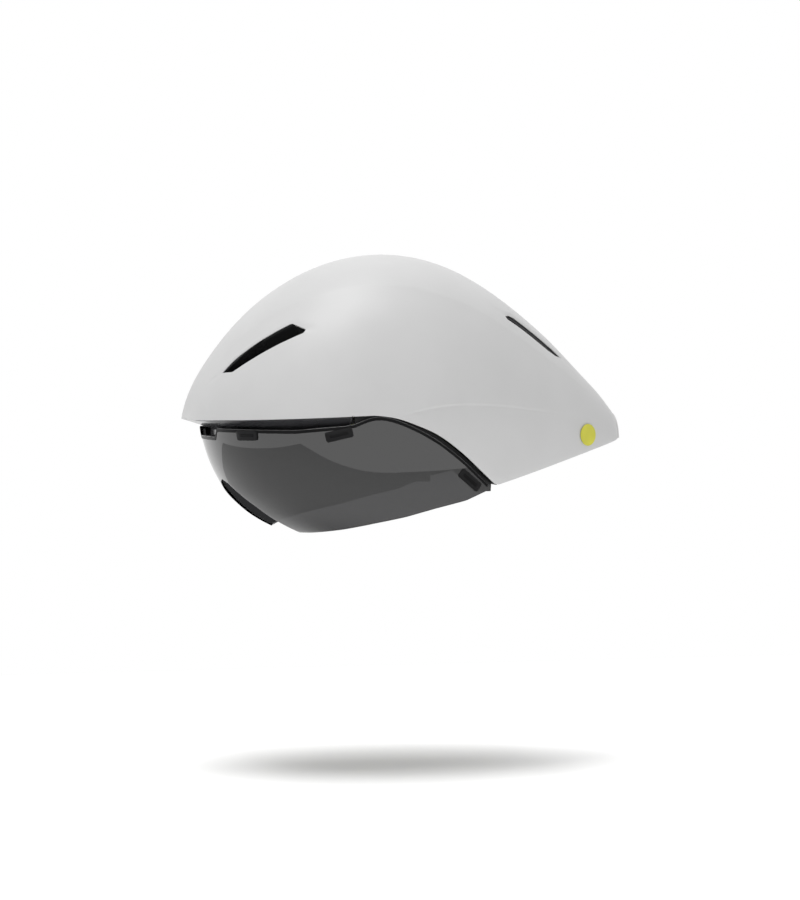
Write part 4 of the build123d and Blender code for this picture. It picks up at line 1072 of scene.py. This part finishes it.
def lens_patch(run, z, turn, step=1e-3):
    """Function from flat millimetres round a place on the lens, turned by degrees, to the frame there."""
    ends = lens_at(np.array([run - step, run + step]), np.array([z, z]))
    scale = np.linalg.norm(ends[1] - ends[0]) / (2 * step)
    cosine, sine = math.cos(math.radians(turn)), math.sin(math.radians(turn))
    return lambda a, b: lens_frame(run + (a * cosine - b * sine) / scale, z + a * sine + b * cosine)


def surface_block(place, half, corner, levels):
    """Closed block on a surface, over rounded rectangles from its top's middle to its foot's.

    Each level takes the rectangle in by an inset at a height.
    """
    turn = np.linspace(0, QUARTER, 6)
    top = [(share, *levels[0]) for share in (0, 0.5)]
    foot = [(share, *levels[-1]) for share in (0.5, 0)]
    rows = []
    for share, inset, height in (*top, *((1, *level) for level in levels), *foot):
        radius = max(corner - inset, 0.2)
        a = half[0] - inset - radius + radius * np.cos(turn)
        b = half[1] - inset - radius + radius * np.sin(turn)
        a = np.r_[a, -a[::-1], -a, a[::-1]] * share
        b = np.r_[b, b[::-1], -b, -b[::-1]] * share
        point, out = place(a, b)
        rows.append(point + out * height)
    grid = np.stack(rows)
    return grid.reshape(-1, 3), grid_faces(*grid.shape[:2], closed=True)


def lens_limits(run):
    """Lower and upper height of the lens at each run.

    They are found by reading the side and front views a few times over, going half of the way each time.
    """
    arch = [(y, z - LENS_GAP * gap) for (y, z), gap in zip(ARCH, LENS_GAPS)]
    top_line = np.concatenate([LENS_TOP[:-1], smooth_curve([LENS_TOP[-1], *arch], 80)])
    high, low = np.full_like(run, -5.0), np.full_like(run, -60.0)

    def reading(height, line, notch):
        """Heights of a side view's line and a front view's notch at the lens's point."""
        point = lens_at(run, height)
        side = np.interp(point[:, 1], *np.array(line, float).T)
        return side, np.interp(point[:, 0], *np.array(notch, float).T)

    for _ in range(12):
        high = 0.5 * high + 0.5 * np.minimum(*reading(high, top_line, TOP_NOTCH))
        low = 0.5 * low + 0.5 * np.maximum(*reading(low, LENS_BOTTOM, NOSE_NOTCH))
    return low, high


# Holders as run, height and turn in degrees; caps as half sides, corner, and levels of inset and height
HOLDER_PLACES = ((0.368, -8.4, 1.0), (0.796, -7.3, 13.0), (1.629, -39.4, -37.0))
HOLDER_CAPS = (
    ("holder_caps", (9.6, 3.5), 1.6, ((0.55, 1.1), (0.15, 0.95), (0, 0.6), (0, -0.4)), "pad_plastic"),
    ("holder_bars", (6.6, 1.2), 1.0, ((0.35, 1.5), (0.08, 1.4), (0, 1.2), (0, 0.9)), "bar_plastic"),
)
# Border's profile: distance under the lens's upper rim, and height over its outer face
BORDER_PROFILE = ((0.3, 0.05), (0.35, 0.3), (2.3, 0.3), (2.5, 0.05), (2.3, -0.2), (0.5, -0.2))


class HELMET_OT_shield(bpy.types.Operator):
    """Smoke grey wraparound shield"""

    bl_idname = "helmet.shield"
    bl_label = "Shield"

    least_height = 1.2  # where the lens is lower than this towards its rear corner, it ends

    def execute(self, context):
        run = np.unique(np.r_[np.linspace(0, 0.42, 46), np.linspace(0.42, 1, 34), np.linspace(1, 2, 40)])
        low, high = lens_limits(run)
        keep = high - low > self.least_height
        run, low, high = run[keep], low[keep], high[keep]
        share = ease(np.linspace(0, 1, 34)) * 0.35 + np.linspace(0, 1, 34) * 0.65
        z = low[:, None] + (high - low)[:, None] * share
        half = lens_at(np.repeat(run[:, None], len(share), 1), z)
        half[0, :, 0] = 0
        grid = mirrored(half)
        faces = grid_faces(*grid.shape[:2])
        lens = make_piece("smoke_shield", grid, faces, material("lens"), "shield", smooth_angle=60)
        lens.data.materials.append(material("lens_inside"))
        wall = add_wall(lens, context.scene.helmet_sizes.lens_wall)
        wall.material_offset = wall.material_offset_rim = 1
        add_bevel(lens, 0.4, 2, 50)
        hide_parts("shield_lens")
        self.border(run[:-1], high[:-1])
        self.caps()
        return {"FINISHED"}

    def border(self, run, high):
        """Thin raised black edge along the lens's upper rim: a low band that follows the outer face."""
        lines = []
        for under, lift in BORDER_PROFILE:
            point, out = lens_frame(run, high - under)
            lines.append(point + out * lift)
        half = np.stack(lines, 1)
        half[0, :, 0] = 0
        grid = mirrored(half)
        faces = tube_faces(*grid.shape[:2], reverse=True)
        make_piece("lens_border", grid, faces, material("bar_plastic"), "shield", smooth_angle=50)

    def caps(self):
        """Rounded caps over the magnet holders, proud of the lens's outer face, each with a black bar."""
        for name, half, corner, levels, finish in HOLDER_CAPS:
            points, faces = [], []
            for run, z, turn in HOLDER_PLACES:
                block, quads = surface_block(lens_patch(run, z, turn), half, corner, levels)
                faces.append(quads + sum(map(len, points)))
                points.append(block)
            points, faces = merge_poles(*both_sides(np.concatenate(points), faces))
            make_piece(name, points, faces, material(finish), "shield", smooth_angle=50)


class HELMET_OT_magnets(bpy.types.Operator):
    """Magnet holders on the shield, seats on the helmet and the magnets inside them"""

    bl_idname = "helmet.magnets"
    bl_label = "Magnet holders and seats"

    def execute(self, context):
        coat_nodes("pad_plastic", "shield_magnet_holders")
        coat_nodes("satin_black", "magnet_seats")
        coat_nodes("magnet", "shield_magnets", "helmet_magnets")
        return {"FINISHED"}


class HELMET_OT_disc(bpy.types.Operator):
    """Plain yellow disc on the left rear side"""

    bl_idname = "helmet.disc"
    bl_label = "Disc"

    centre, radius, lift = (152.8, -10.3), 7.7, 0.35
    narrow = 0.92  # share of its size along Y
    rim_lift = 0.02

    def execute(self, context):
        rings = np.r_[np.linspace(0, 1, 9), 1.0, 0.0][:, None]
        lifts = np.r_[np.full(8, self.lift), self.lift * 0.8, self.rim_lift, self.rim_lift]
        turn = np.linspace(0, 2 * math.pi, 49)[:-1]
        y = self.centre[0] + self.radius * rings * np.cos(turn) * self.narrow
        z = self.centre[1] + self.radius * rings * np.sin(turn)
        step = 0.05
        x = side_x(y, z)
        slope_y = (side_x(y + step, z) - side_x(y - step, z)) / (2 * step)
        slope_z = (side_x(y, z + step) - side_x(y, z - step)) / (2 * step)
        normal = unit(np.stack([np.ones_like(x), -slope_y, -slope_z], -1))
        grid = np.stack([x, y, z], -1) + normal * lifts[:, None, None]
        points, faces = merge_poles(grid.reshape(-1, 3), [grid_faces(*grid.shape[:2], closed=True)])
        disc = make_piece("yellow_disc", points, faces, material("vinyl"), "helmet", smooth_angle=50)
        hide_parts("rear_disc")
        return {"FINISHED"}


HEAD_SHIFT, HEAD_LENGTH, HEAD_WIDTH, HEAD_HEIGHT, FORM_POWER = 5.0, 100.0, 80.0, 88.0, 2.15
PAD_GAPS = (3.1, 7.0)  # from the head form in to a pad's outer and inner sheet
PAD_RIM = 0.12  # share of a pad's thickness left at its sewn rim
CHANNEL_DEPTH = 0.55  # share of the thickness that a sewn channel takes away


def form_at(angle, z, gap):
    """Point of the head form, smaller by gap, at an angle round it and a height: it shrinks upwards."""
    share = np.clip(z / (HEAD_HEIGHT - gap), 0, 0.999)
    size = (1 - share**FORM_POWER) ** (1 / FORM_POWER)
    x = size * (HEAD_WIDTH - gap) * np.cos(angle)
    y = HEAD_SHIFT + size * (HEAD_LENGTH - gap) * np.sin(angle)
    return np.stack([x, y, z + 0 * angle], -1)


def pad_profile(share):
    """Thickness share across a pad, full in the middle and none at the rim: the root of 1 - (2s - 1)^4."""
    return (1 - np.abs(2 * share - 1) ** 4.0) ** (1 / 2)


def padded_between(name, outer, inner, body, node, channels):
    """Closed pad between an outer sheet, where it lies on the liner, and an inner one.

    It is crowned and drawn in at its rim and at its sewn channels, each an axis, a place and a width.
    """
    rows, columns = outer.shape[:2]
    a = np.linspace(0, 1, rows)[:, None]
    b = np.linspace(0, 1, columns)[None, :]
    crown = pad_profile(a) * pad_profile(b)
    for axis, place, width in channels:
        crown = crown * (1 - CHANNEL_DEPTH * np.exp(-((((a, b)[axis] - place) / width) ** 2)))
    front = outer + (inner - outer) * (PAD_RIM + (1 - PAD_RIM) * crown)[..., None]
    back = outer + (inner - outer) * (PAD_RIM * (1 - np.minimum(crown * 3, 1)))[..., None]
    points = np.concatenate([front.reshape(-1, 3), back.reshape(-1, 3)])
    faces = grid_faces(rows, columns)
    count = rows * columns
    index = np.arange(count).reshape(rows, columns)
    rim = np.r_[index[0], index[1:, -1], index[-1, -2::-1], index[-2:0:-1, 0]]
    following = np.roll(rim, -1)
    band = np.stack([rim, rim + count, following + count, following], 1)
    faces = np.concatenate([faces, faces[:, ::-1] + count, band])
    middle_face = (rows // 2) * (columns - 1) + columns // 2
    faces = turned(points, faces, middle_face, back[rows // 2, columns // 2])
    pad = make_piece(name, points, faces, material("knit"), body, smooth_angle=80)
    smooth = pad.modifiers.new("soft", "SUBSURF")
    smooth.levels = smooth.render_levels = 1
    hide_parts(node)


# Pads round the head: piece, node, span in degrees, rows round it, heights and channels
BROW_CHANNELS = tuple((0, place, 0.012) for place in (0.25, 0.5, 0.75))
SIDE_CHANNELS = ((0, 0.5, 0.03),)
CROWN_CHANNELS = ((1, 0.33, 0.02), (1, 0.67, 0.02))
ROUND_PADS = (
    ("brow_comfort_pad", "brow_pad", (-143, -37), 90, (6.5, 27.5), BROW_CHANNELS),
    ("side_comfort_pad_left", "side_pad_left", (-7, 34), 44, (10.5, 33.5), SIDE_CHANNELS),
    ("side_comfort_pad_right", "side_pad_right", (146, 187), 44, (10.5, 33.5), SIDE_CHANNELS),
)


class HELMET_OT_liner(bpy.types.Operator):
    """Foam liner, slip liner with its anchors, and comfort pads"""

    bl_idname = "helmet.liner"
    bl_label = "Foam, slip liner and pads"

    crown_width, crown_length, pinch = 20.5, 42.5, 0.34
    nape_angles, nape_heights = (10.4, 33.6), (-34.6, -13.4)
    nape_centre, nape_radii = 23, (71.6, 67.9)

    def execute(self, context):
        coat_nodes("foam", "eps_liner")
        coat_nodes("slip_sheet", "slip_liner")
        coat_nodes("elastomer", "slip_anchors")
        for name, node, span, count, levels, channels in ROUND_PADS:
            angle = np.radians(np.linspace(*span, count))[:, None]
            z = np.linspace(*levels, 22)[None, :]
            sheets = [form_at(angle, z, gap) for gap in PAD_GAPS]
            padded_between(name, *sheets, "head_liner", node, channels)
        self.crown_pad()
        for side, flip in SIDES:
            self.nape_pad(side, flip)
        return {"FINISHED"}

    def crown_pad(self):
        """Long pad along the crown, narrower towards its ends."""
        y = np.linspace(-self.crown_length, self.crown_length, 60)[None, :]
        x = np.linspace(-self.crown_width, self.crown_width, 34)[:, None]
        x = x * (1 - self.pinch * (np.abs(y) / self.crown_length) ** 5)
        sheets = []
        for gap in PAD_GAPS:
            radius = np.sqrt((x / (HEAD_WIDTH - gap)) ** 2 + (y / (HEAD_LENGTH - gap)) ** 2)
            z = (HEAD_HEIGHT - gap) * (1 - radius**FORM_POWER) ** (1 / FORM_POWER)
            z = np.minimum(z, (HEAD_HEIGHT - gap) * 0.995)
            sheets.append(np.stack([x, y + HEAD_SHIFT + 0 * x, z], -1))
        padded_between("crown_comfort_pad", *sheets, "head_liner", "crown_pad", CROWN_CHANNELS)

    def nape_pad(self, side, flip):
        """Pad on one side of the cradle's inner face."""
        angle = np.radians(np.linspace(*self.nape_angles, 40))[:, None]
        z = np.linspace(*self.nape_heights, 22)[None, :]
        sheets = []
        for radius in self.nape_radii:
            plan = (flip * radius * np.sin(angle), self.nape_centre + radius * np.cos(angle))
            sheets.append(np.stack(np.broadcast_arrays(*plan, z), -1))
        padded_between(f"nape_comfort_pad_{side}", *sheets, "cradle", f"cradle_pad_{side}", SIDE_CHANNELS)


WEB_LEVELS = (-22.0, -10.0)
WEB_STEP = 1.2  # between the rows along a strap
POCKET_INSET = 17.1  # of the straps inside the shell's waist
# Chin strap along the pocket's wall as places and insets from the waist, and on to the buckle as x and y
CHIN_WALL = np.array([(69.4, 19.9), (75.0, 22.6), (82.0, 24.4), (95.0, 24.4), (110.0, 23.5)])
CHIN_REAR = ((44.0, 124.0), (34.0, 133.0), (24.4, 137.4))
CHIN_BUCKLE = (14.3, 138.25)


def ribbon(name, path, thickness, node):
    """Webbing strap: a flat rounded profile carried along a path in plan.

    Its own UV map is in millimetres along and across.
    """
    path = smooth_curve(path, max(int(path_lengths(path)[-1] / WEB_STEP), 8))
    run = unit(np.gradient(path, axis=0))
    side = np.stack([run[:, 1], -run[:, 0]], 1)
    low, high = WEB_LEVELS
    half = thickness / 2
    soft = half * 0.6
    heights = np.linspace(low + soft, high - soft, 17)
    turn = np.linspace(-QUARTER, QUARTER, 5)[1:-1]
    profile = [(half, z) for z in heights]
    profile += [(-half * math.sin(t), high - soft + soft * math.cos(t)) for t in turn]
    profile += [(-half, z) for z in heights[::-1]]
    profile += [(half * math.sin(t), low + soft - soft * math.cos(t)) for t in turn]
    profile = np.array(profile)
    plan = path[:, None, :] + side[:, None, :] * profile[None, :, :1]
    grid = np.concatenate([plan, np.broadcast_to(profile[None, :, 1:], (*plan.shape[:2], 1))], -1)
    along, across = path_lengths(path), path_lengths(profile)
    uv = np.stack(np.broadcast_arrays(along[:, None], across[None, :]), -1)
    rows, columns = grid.shape[:2]
    points = grid.reshape(-1, 3)
    faces = turned(points, tube_faces(rows, columns), columns // 8, grid[0].mean(0))
    strap = make_piece(name, points, faces, material("webbing"), "helmet", uv=uv, smooth_angle=50)
    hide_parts(node)
    return strap


def pocket_path(start, end):
    """Points along the pocket's wall at an even inset from the shell's waist."""
    y = np.linspace(start, end, 4)
    return np.stack([section(y)[0] - POCKET_INSET, y], 1)


class HELMET_OT_straps(bpy.types.Operator):
    """Webbing straps, their anchors, dividers, keeper and buckle"""

    bl_idname = "helmet.straps"
    bl_label = "Straps and buckle"

    pockets = (("front", 36.1, 53.3), ("rear", 69.4, 86.0))

    def execute(self, context):
        thickness = context.scene.helmet_sizes.strap_wall
        for side, flip in SIDES:
            for place, start, end in self.pockets:
                path = pocket_path(start, end) * (flip, 1)
                ribbon(f"{place}_web_{side}", path, thickness, f"{place}_strap_{side}")
        y, inset = CHIN_WALL.T
        chin = np.concatenate([np.stack([section(y)[0] - inset, y], 1), CHIN_REAR])
        chin_left = np.concatenate([chin, [CHIN_BUCKLE]])
        left_web = ribbon("chin_web_left", chin_left, thickness, "chin_strap_left")
        # It is taken off the helmet's body and keeps its place in the world
        left_web.parent = None
        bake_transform(left_web)
        ribbon("chin_web_right", chin * (-1, 1), thickness, "chin_strap_right")
        coat_nodes("satin_black", "strap_anchors", "strap_divider_left", "strap_divider_right")
        coat_nodes("satin_black", "buckle_female", "buckle_male")
        coat_nodes("elastomer", "strap_keeper")
        return {"FINISHED"}


class HELMET_OT_fit_system(bpy.types.Operator):
    """Dial, racks, housing, cradle, bands and height stem"""

    bl_idname = "helmet.fit_system"
    bl_label = "Fit system"

    def execute(self, context):
        coat_nodes("satin_black", "temple_anchor_left", "temple_anchor_right", "dial_knob")
        coat_nodes("satin_black", "housing_front", "housing_rear", "stem_guide")
        coat_nodes("flex_nylon", "fit_band_left", "fit_band_right", "rack_left", "rack_right")
        coat_nodes("flex_nylon", "dial_pinion", "occipital_cradle", "height_stem", "flex_arm")
        coat_nodes("screw", "dial_screw", "housing_screws")
        return {"FINISHED"}


# Stage: the camera's numbers are in millimetres and degrees, and a picture element covers PIXEL millimetres

CAMERA_TARGET = (7.0, 26.2, -21.4)
CAMERA_DISTANCE = 2500.0
CAMERA_AZIMUTH, CAMERA_ELEVATION = 75.0, 2.0
SENSOR = 36.0
PIXEL = 0.713
PICTURE_HEIGHT = 900
FLOOR_HALF = 700.0
FLOOR_TONE, FLOOR_IN_REFLECTIONS, FLOOR_GLOW = 0.72, 0.28, 0.15
SURROUND_LIGHT, SURROUND_SEEN = 0.5, 1.0
WHITE = (1, 1, 1, 1)
# Softboxes over the helmet: place and target in metres, sides in metres, power in watts
SOFTBOXES = (
    ("top_softbox", (0.12, -0.25, 1.58), (0, 0.03, 0), (0.8, 0.8), 13.5),
    ("side_softbox", (1.5, -0.7, 0.7), (0, 0, 0.03), (1.0, 1.0), 2.5),
)


def area_light(name, place, target, size, power):
    """Soft rectangular light at a place in metres, turned to its target."""
    data = bpy.data.lights.new(name, "AREA")
    data.shape = "RECTANGLE"
    data.size, data.size_y = size
    data.energy = power
    light = bpy.data.objects.new(name, data)
    light.location = place
    light.rotation_euler = (Vector(target) - Vector(place)).to_track_quat("-Z", "Y").to_euler()
    bpy.context.scene.collection.objects.link(light)
    return light


def seen(tree, path):
    """1 for what is seen straight, in a reflection or through the lens, and 0 for light on a surface."""
    either = maths(tree, "MAXIMUM", path["Is Camera Ray"], path["Is Glossy Ray"])
    return maths(tree, "MAXIMUM", either, path["Is Transmission Ray"])


class HELMET_OT_stage(bpy.types.Operator):
    """Pale floor, white surround, soft lights and the camera"""

    bl_idname = "helmet.stage"
    bl_label = "Stage"

    def execute(self, context):
        scene = context.scene
        scene.view_settings.view_transform = "Standard"
        floor = self.floor(scene)
        scene.world = self.surround()
        # A second soft light from above that only the floor takes, for the shadow's depth
        receivers = bpy.data.collections.new("floor_light_receivers")
        receivers.objects.link(floor)
        floor_light = area_light("floor_softbox", (0.0, 0.03, 1.6), (0, 0.03, 0), (1.5, 1.2), 42.0)
        floor_light.light_linking.receiver_collection = receivers
        for softbox in SOFTBOXES:
            area_light(*softbox)
        self.camera(scene)
        return {"FINISHED"}

    def floor_material(self):
        """Pale diffuse floor with a little glow of its own where it is seen."""
        made, tree = new_material("pale_floor")
        path = add_node(tree, "ShaderNodeLightPath").outputs
        glow = maths(tree, "MULTIPLY", seen(tree, path), FLOOR_GLOW)
        # The floor is greyer in reflections, so that the lens's lower part stays dark
        tint = mixed(tree, path["Is Glossy Ray"], (FLOOR_TONE,) * 3, (FLOOR_IN_REFLECTIONS,) * 3)
        diffuse = add_node(tree, "ShaderNodeBsdfDiffuse", {"Color": tint})
        light = add_node(tree, "ShaderNodeEmission", {"Color": WHITE, "Strength": glow})
        total = add_node(tree, "ShaderNodeAddShader", {0: diffuse.outputs[0], 1: light.outputs[0]})
        return finish_material(made, total)

    def floor(self, scene):
        """Square floor under the helmet."""
        drop = -scene.helmet_sizes.floor_drop
        corners = [(x * FLOOR_HALF, y * FLOOR_HALF, drop) for x, y in ((-1, -1), (1, -1), (1, 1), (-1, 1))]
        mesh = bpy.data.meshes.new("floor")
        mesh.from_pydata(np.array(corners) * MM, [], [(0, 1, 2, 3)])
        mesh.materials.append(self.floor_material())
        floor = bpy.data.objects.new("floor", mesh)
        scene.collection.objects.link(floor)
        return floor

    def surround(self):
        """White world that lights at one strength and is seen at another."""
        world = bpy.data.worlds.new("white_surround")
        world.use_nodes = True
        tree = world.node_tree
        tree.nodes.clear()
        path = add_node(tree, "ShaderNodeLightPath").outputs
        both = []
        for strength in (SURROUND_LIGHT, SURROUND_SEEN):
            plain = add_node(tree, "ShaderNodeBackground", {"Color": WHITE, "Strength": strength})
            both.append(plain.outputs[0])
        mix = add_node(tree, "ShaderNodeMixShader", {0: seen(tree, path), 1: both[0], 2: both[1]})
        add_node(tree, "ShaderNodeOutputWorld", {"Surface": mix.outputs[0]})
        return world

    def camera(self, scene):
        """Camera at its distance from the target, with a lens that gives PIXEL at the target."""
        azimuth, elevation = math.radians(CAMERA_AZIMUTH), math.radians(CAMERA_ELEVATION)
        away = Vector((math.sin(azimuth), -math.cos(azimuth), 0)) * math.cos(elevation)
        away.z = math.sin(elevation)
        data = bpy.data.cameras.new("camera")
        data.sensor_width = SENSOR
        data.lens = SENSOR * CAMERA_DISTANCE / (PIXEL * PICTURE_HEIGHT)
        camera = bpy.data.objects.new("camera", data)
        camera.location = Vector(CAMERA_TARGET) * MM + away * CAMERA_DISTANCE * MM
        camera.rotation_euler = (-away).to_track_quat("-Z", "Y").to_euler()
        scene.collection.objects.link(camera)
        scene.camera = camera


class HELMET_PT_panel(bpy.types.Panel):
    """Buttons for the helmet's pieces, and their sizes and colours"""

    bl_idname = "HELMET_PT_panel"
    bl_label = "Helmet"
    bl_space_type = "VIEW_3D"
    bl_region_type = "UI"
    bl_category = "Helmet"

    def draw(self, context):
        column = self.layout.column()
        for operator in OPERATORS:
            column.operator(operator.bl_idname)
        for group in (context.scene.helmet_sizes, context.scene.helmet_colours):
            for name in group.__annotations__:
                column.prop(group, name)


OPERATORS = (
    HELMET_OT_shell,
    HELMET_OT_bezel,
    HELMET_OT_shield,
    HELMET_OT_magnets,
    HELMET_OT_disc,
    HELMET_OT_liner,
    HELMET_OT_straps,
    HELMET_OT_fit_system,
    HELMET_OT_stage,
)
CLASSES = (HelmetSizes, HelmetColours, *OPERATORS, HELMET_PT_panel)


def register():
    for item in CLASSES:
        bpy.utils.register_class(item)
    bpy.types.Scene.helmet_sizes = bpy.props.PointerProperty(type=HelmetSizes)
    bpy.types.Scene.helmet_colours = bpy.props.PointerProperty(type=HelmetColours)


def unregister():
    del bpy.types.Scene.helmet_colours
    del bpy.types.Scene.helmet_sizes
    for item in reversed(CLASSES):
        bpy.utils.unregister_class(item)


def main():
    """Registers the classes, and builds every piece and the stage."""
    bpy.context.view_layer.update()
    register()
    bpy.ops.helmet.shell()
    bpy.ops.helmet.bezel()
    bpy.ops.helmet.shield()
    bpy.ops.helmet.magnets()
    bpy.ops.helmet.disc()
    bpy.ops.helmet.liner()
    bpy.ops.helmet.straps()
    bpy.ops.helmet.fit_system()
    bpy.ops.helmet.stage()


if __name__ == "__main__":
    main()
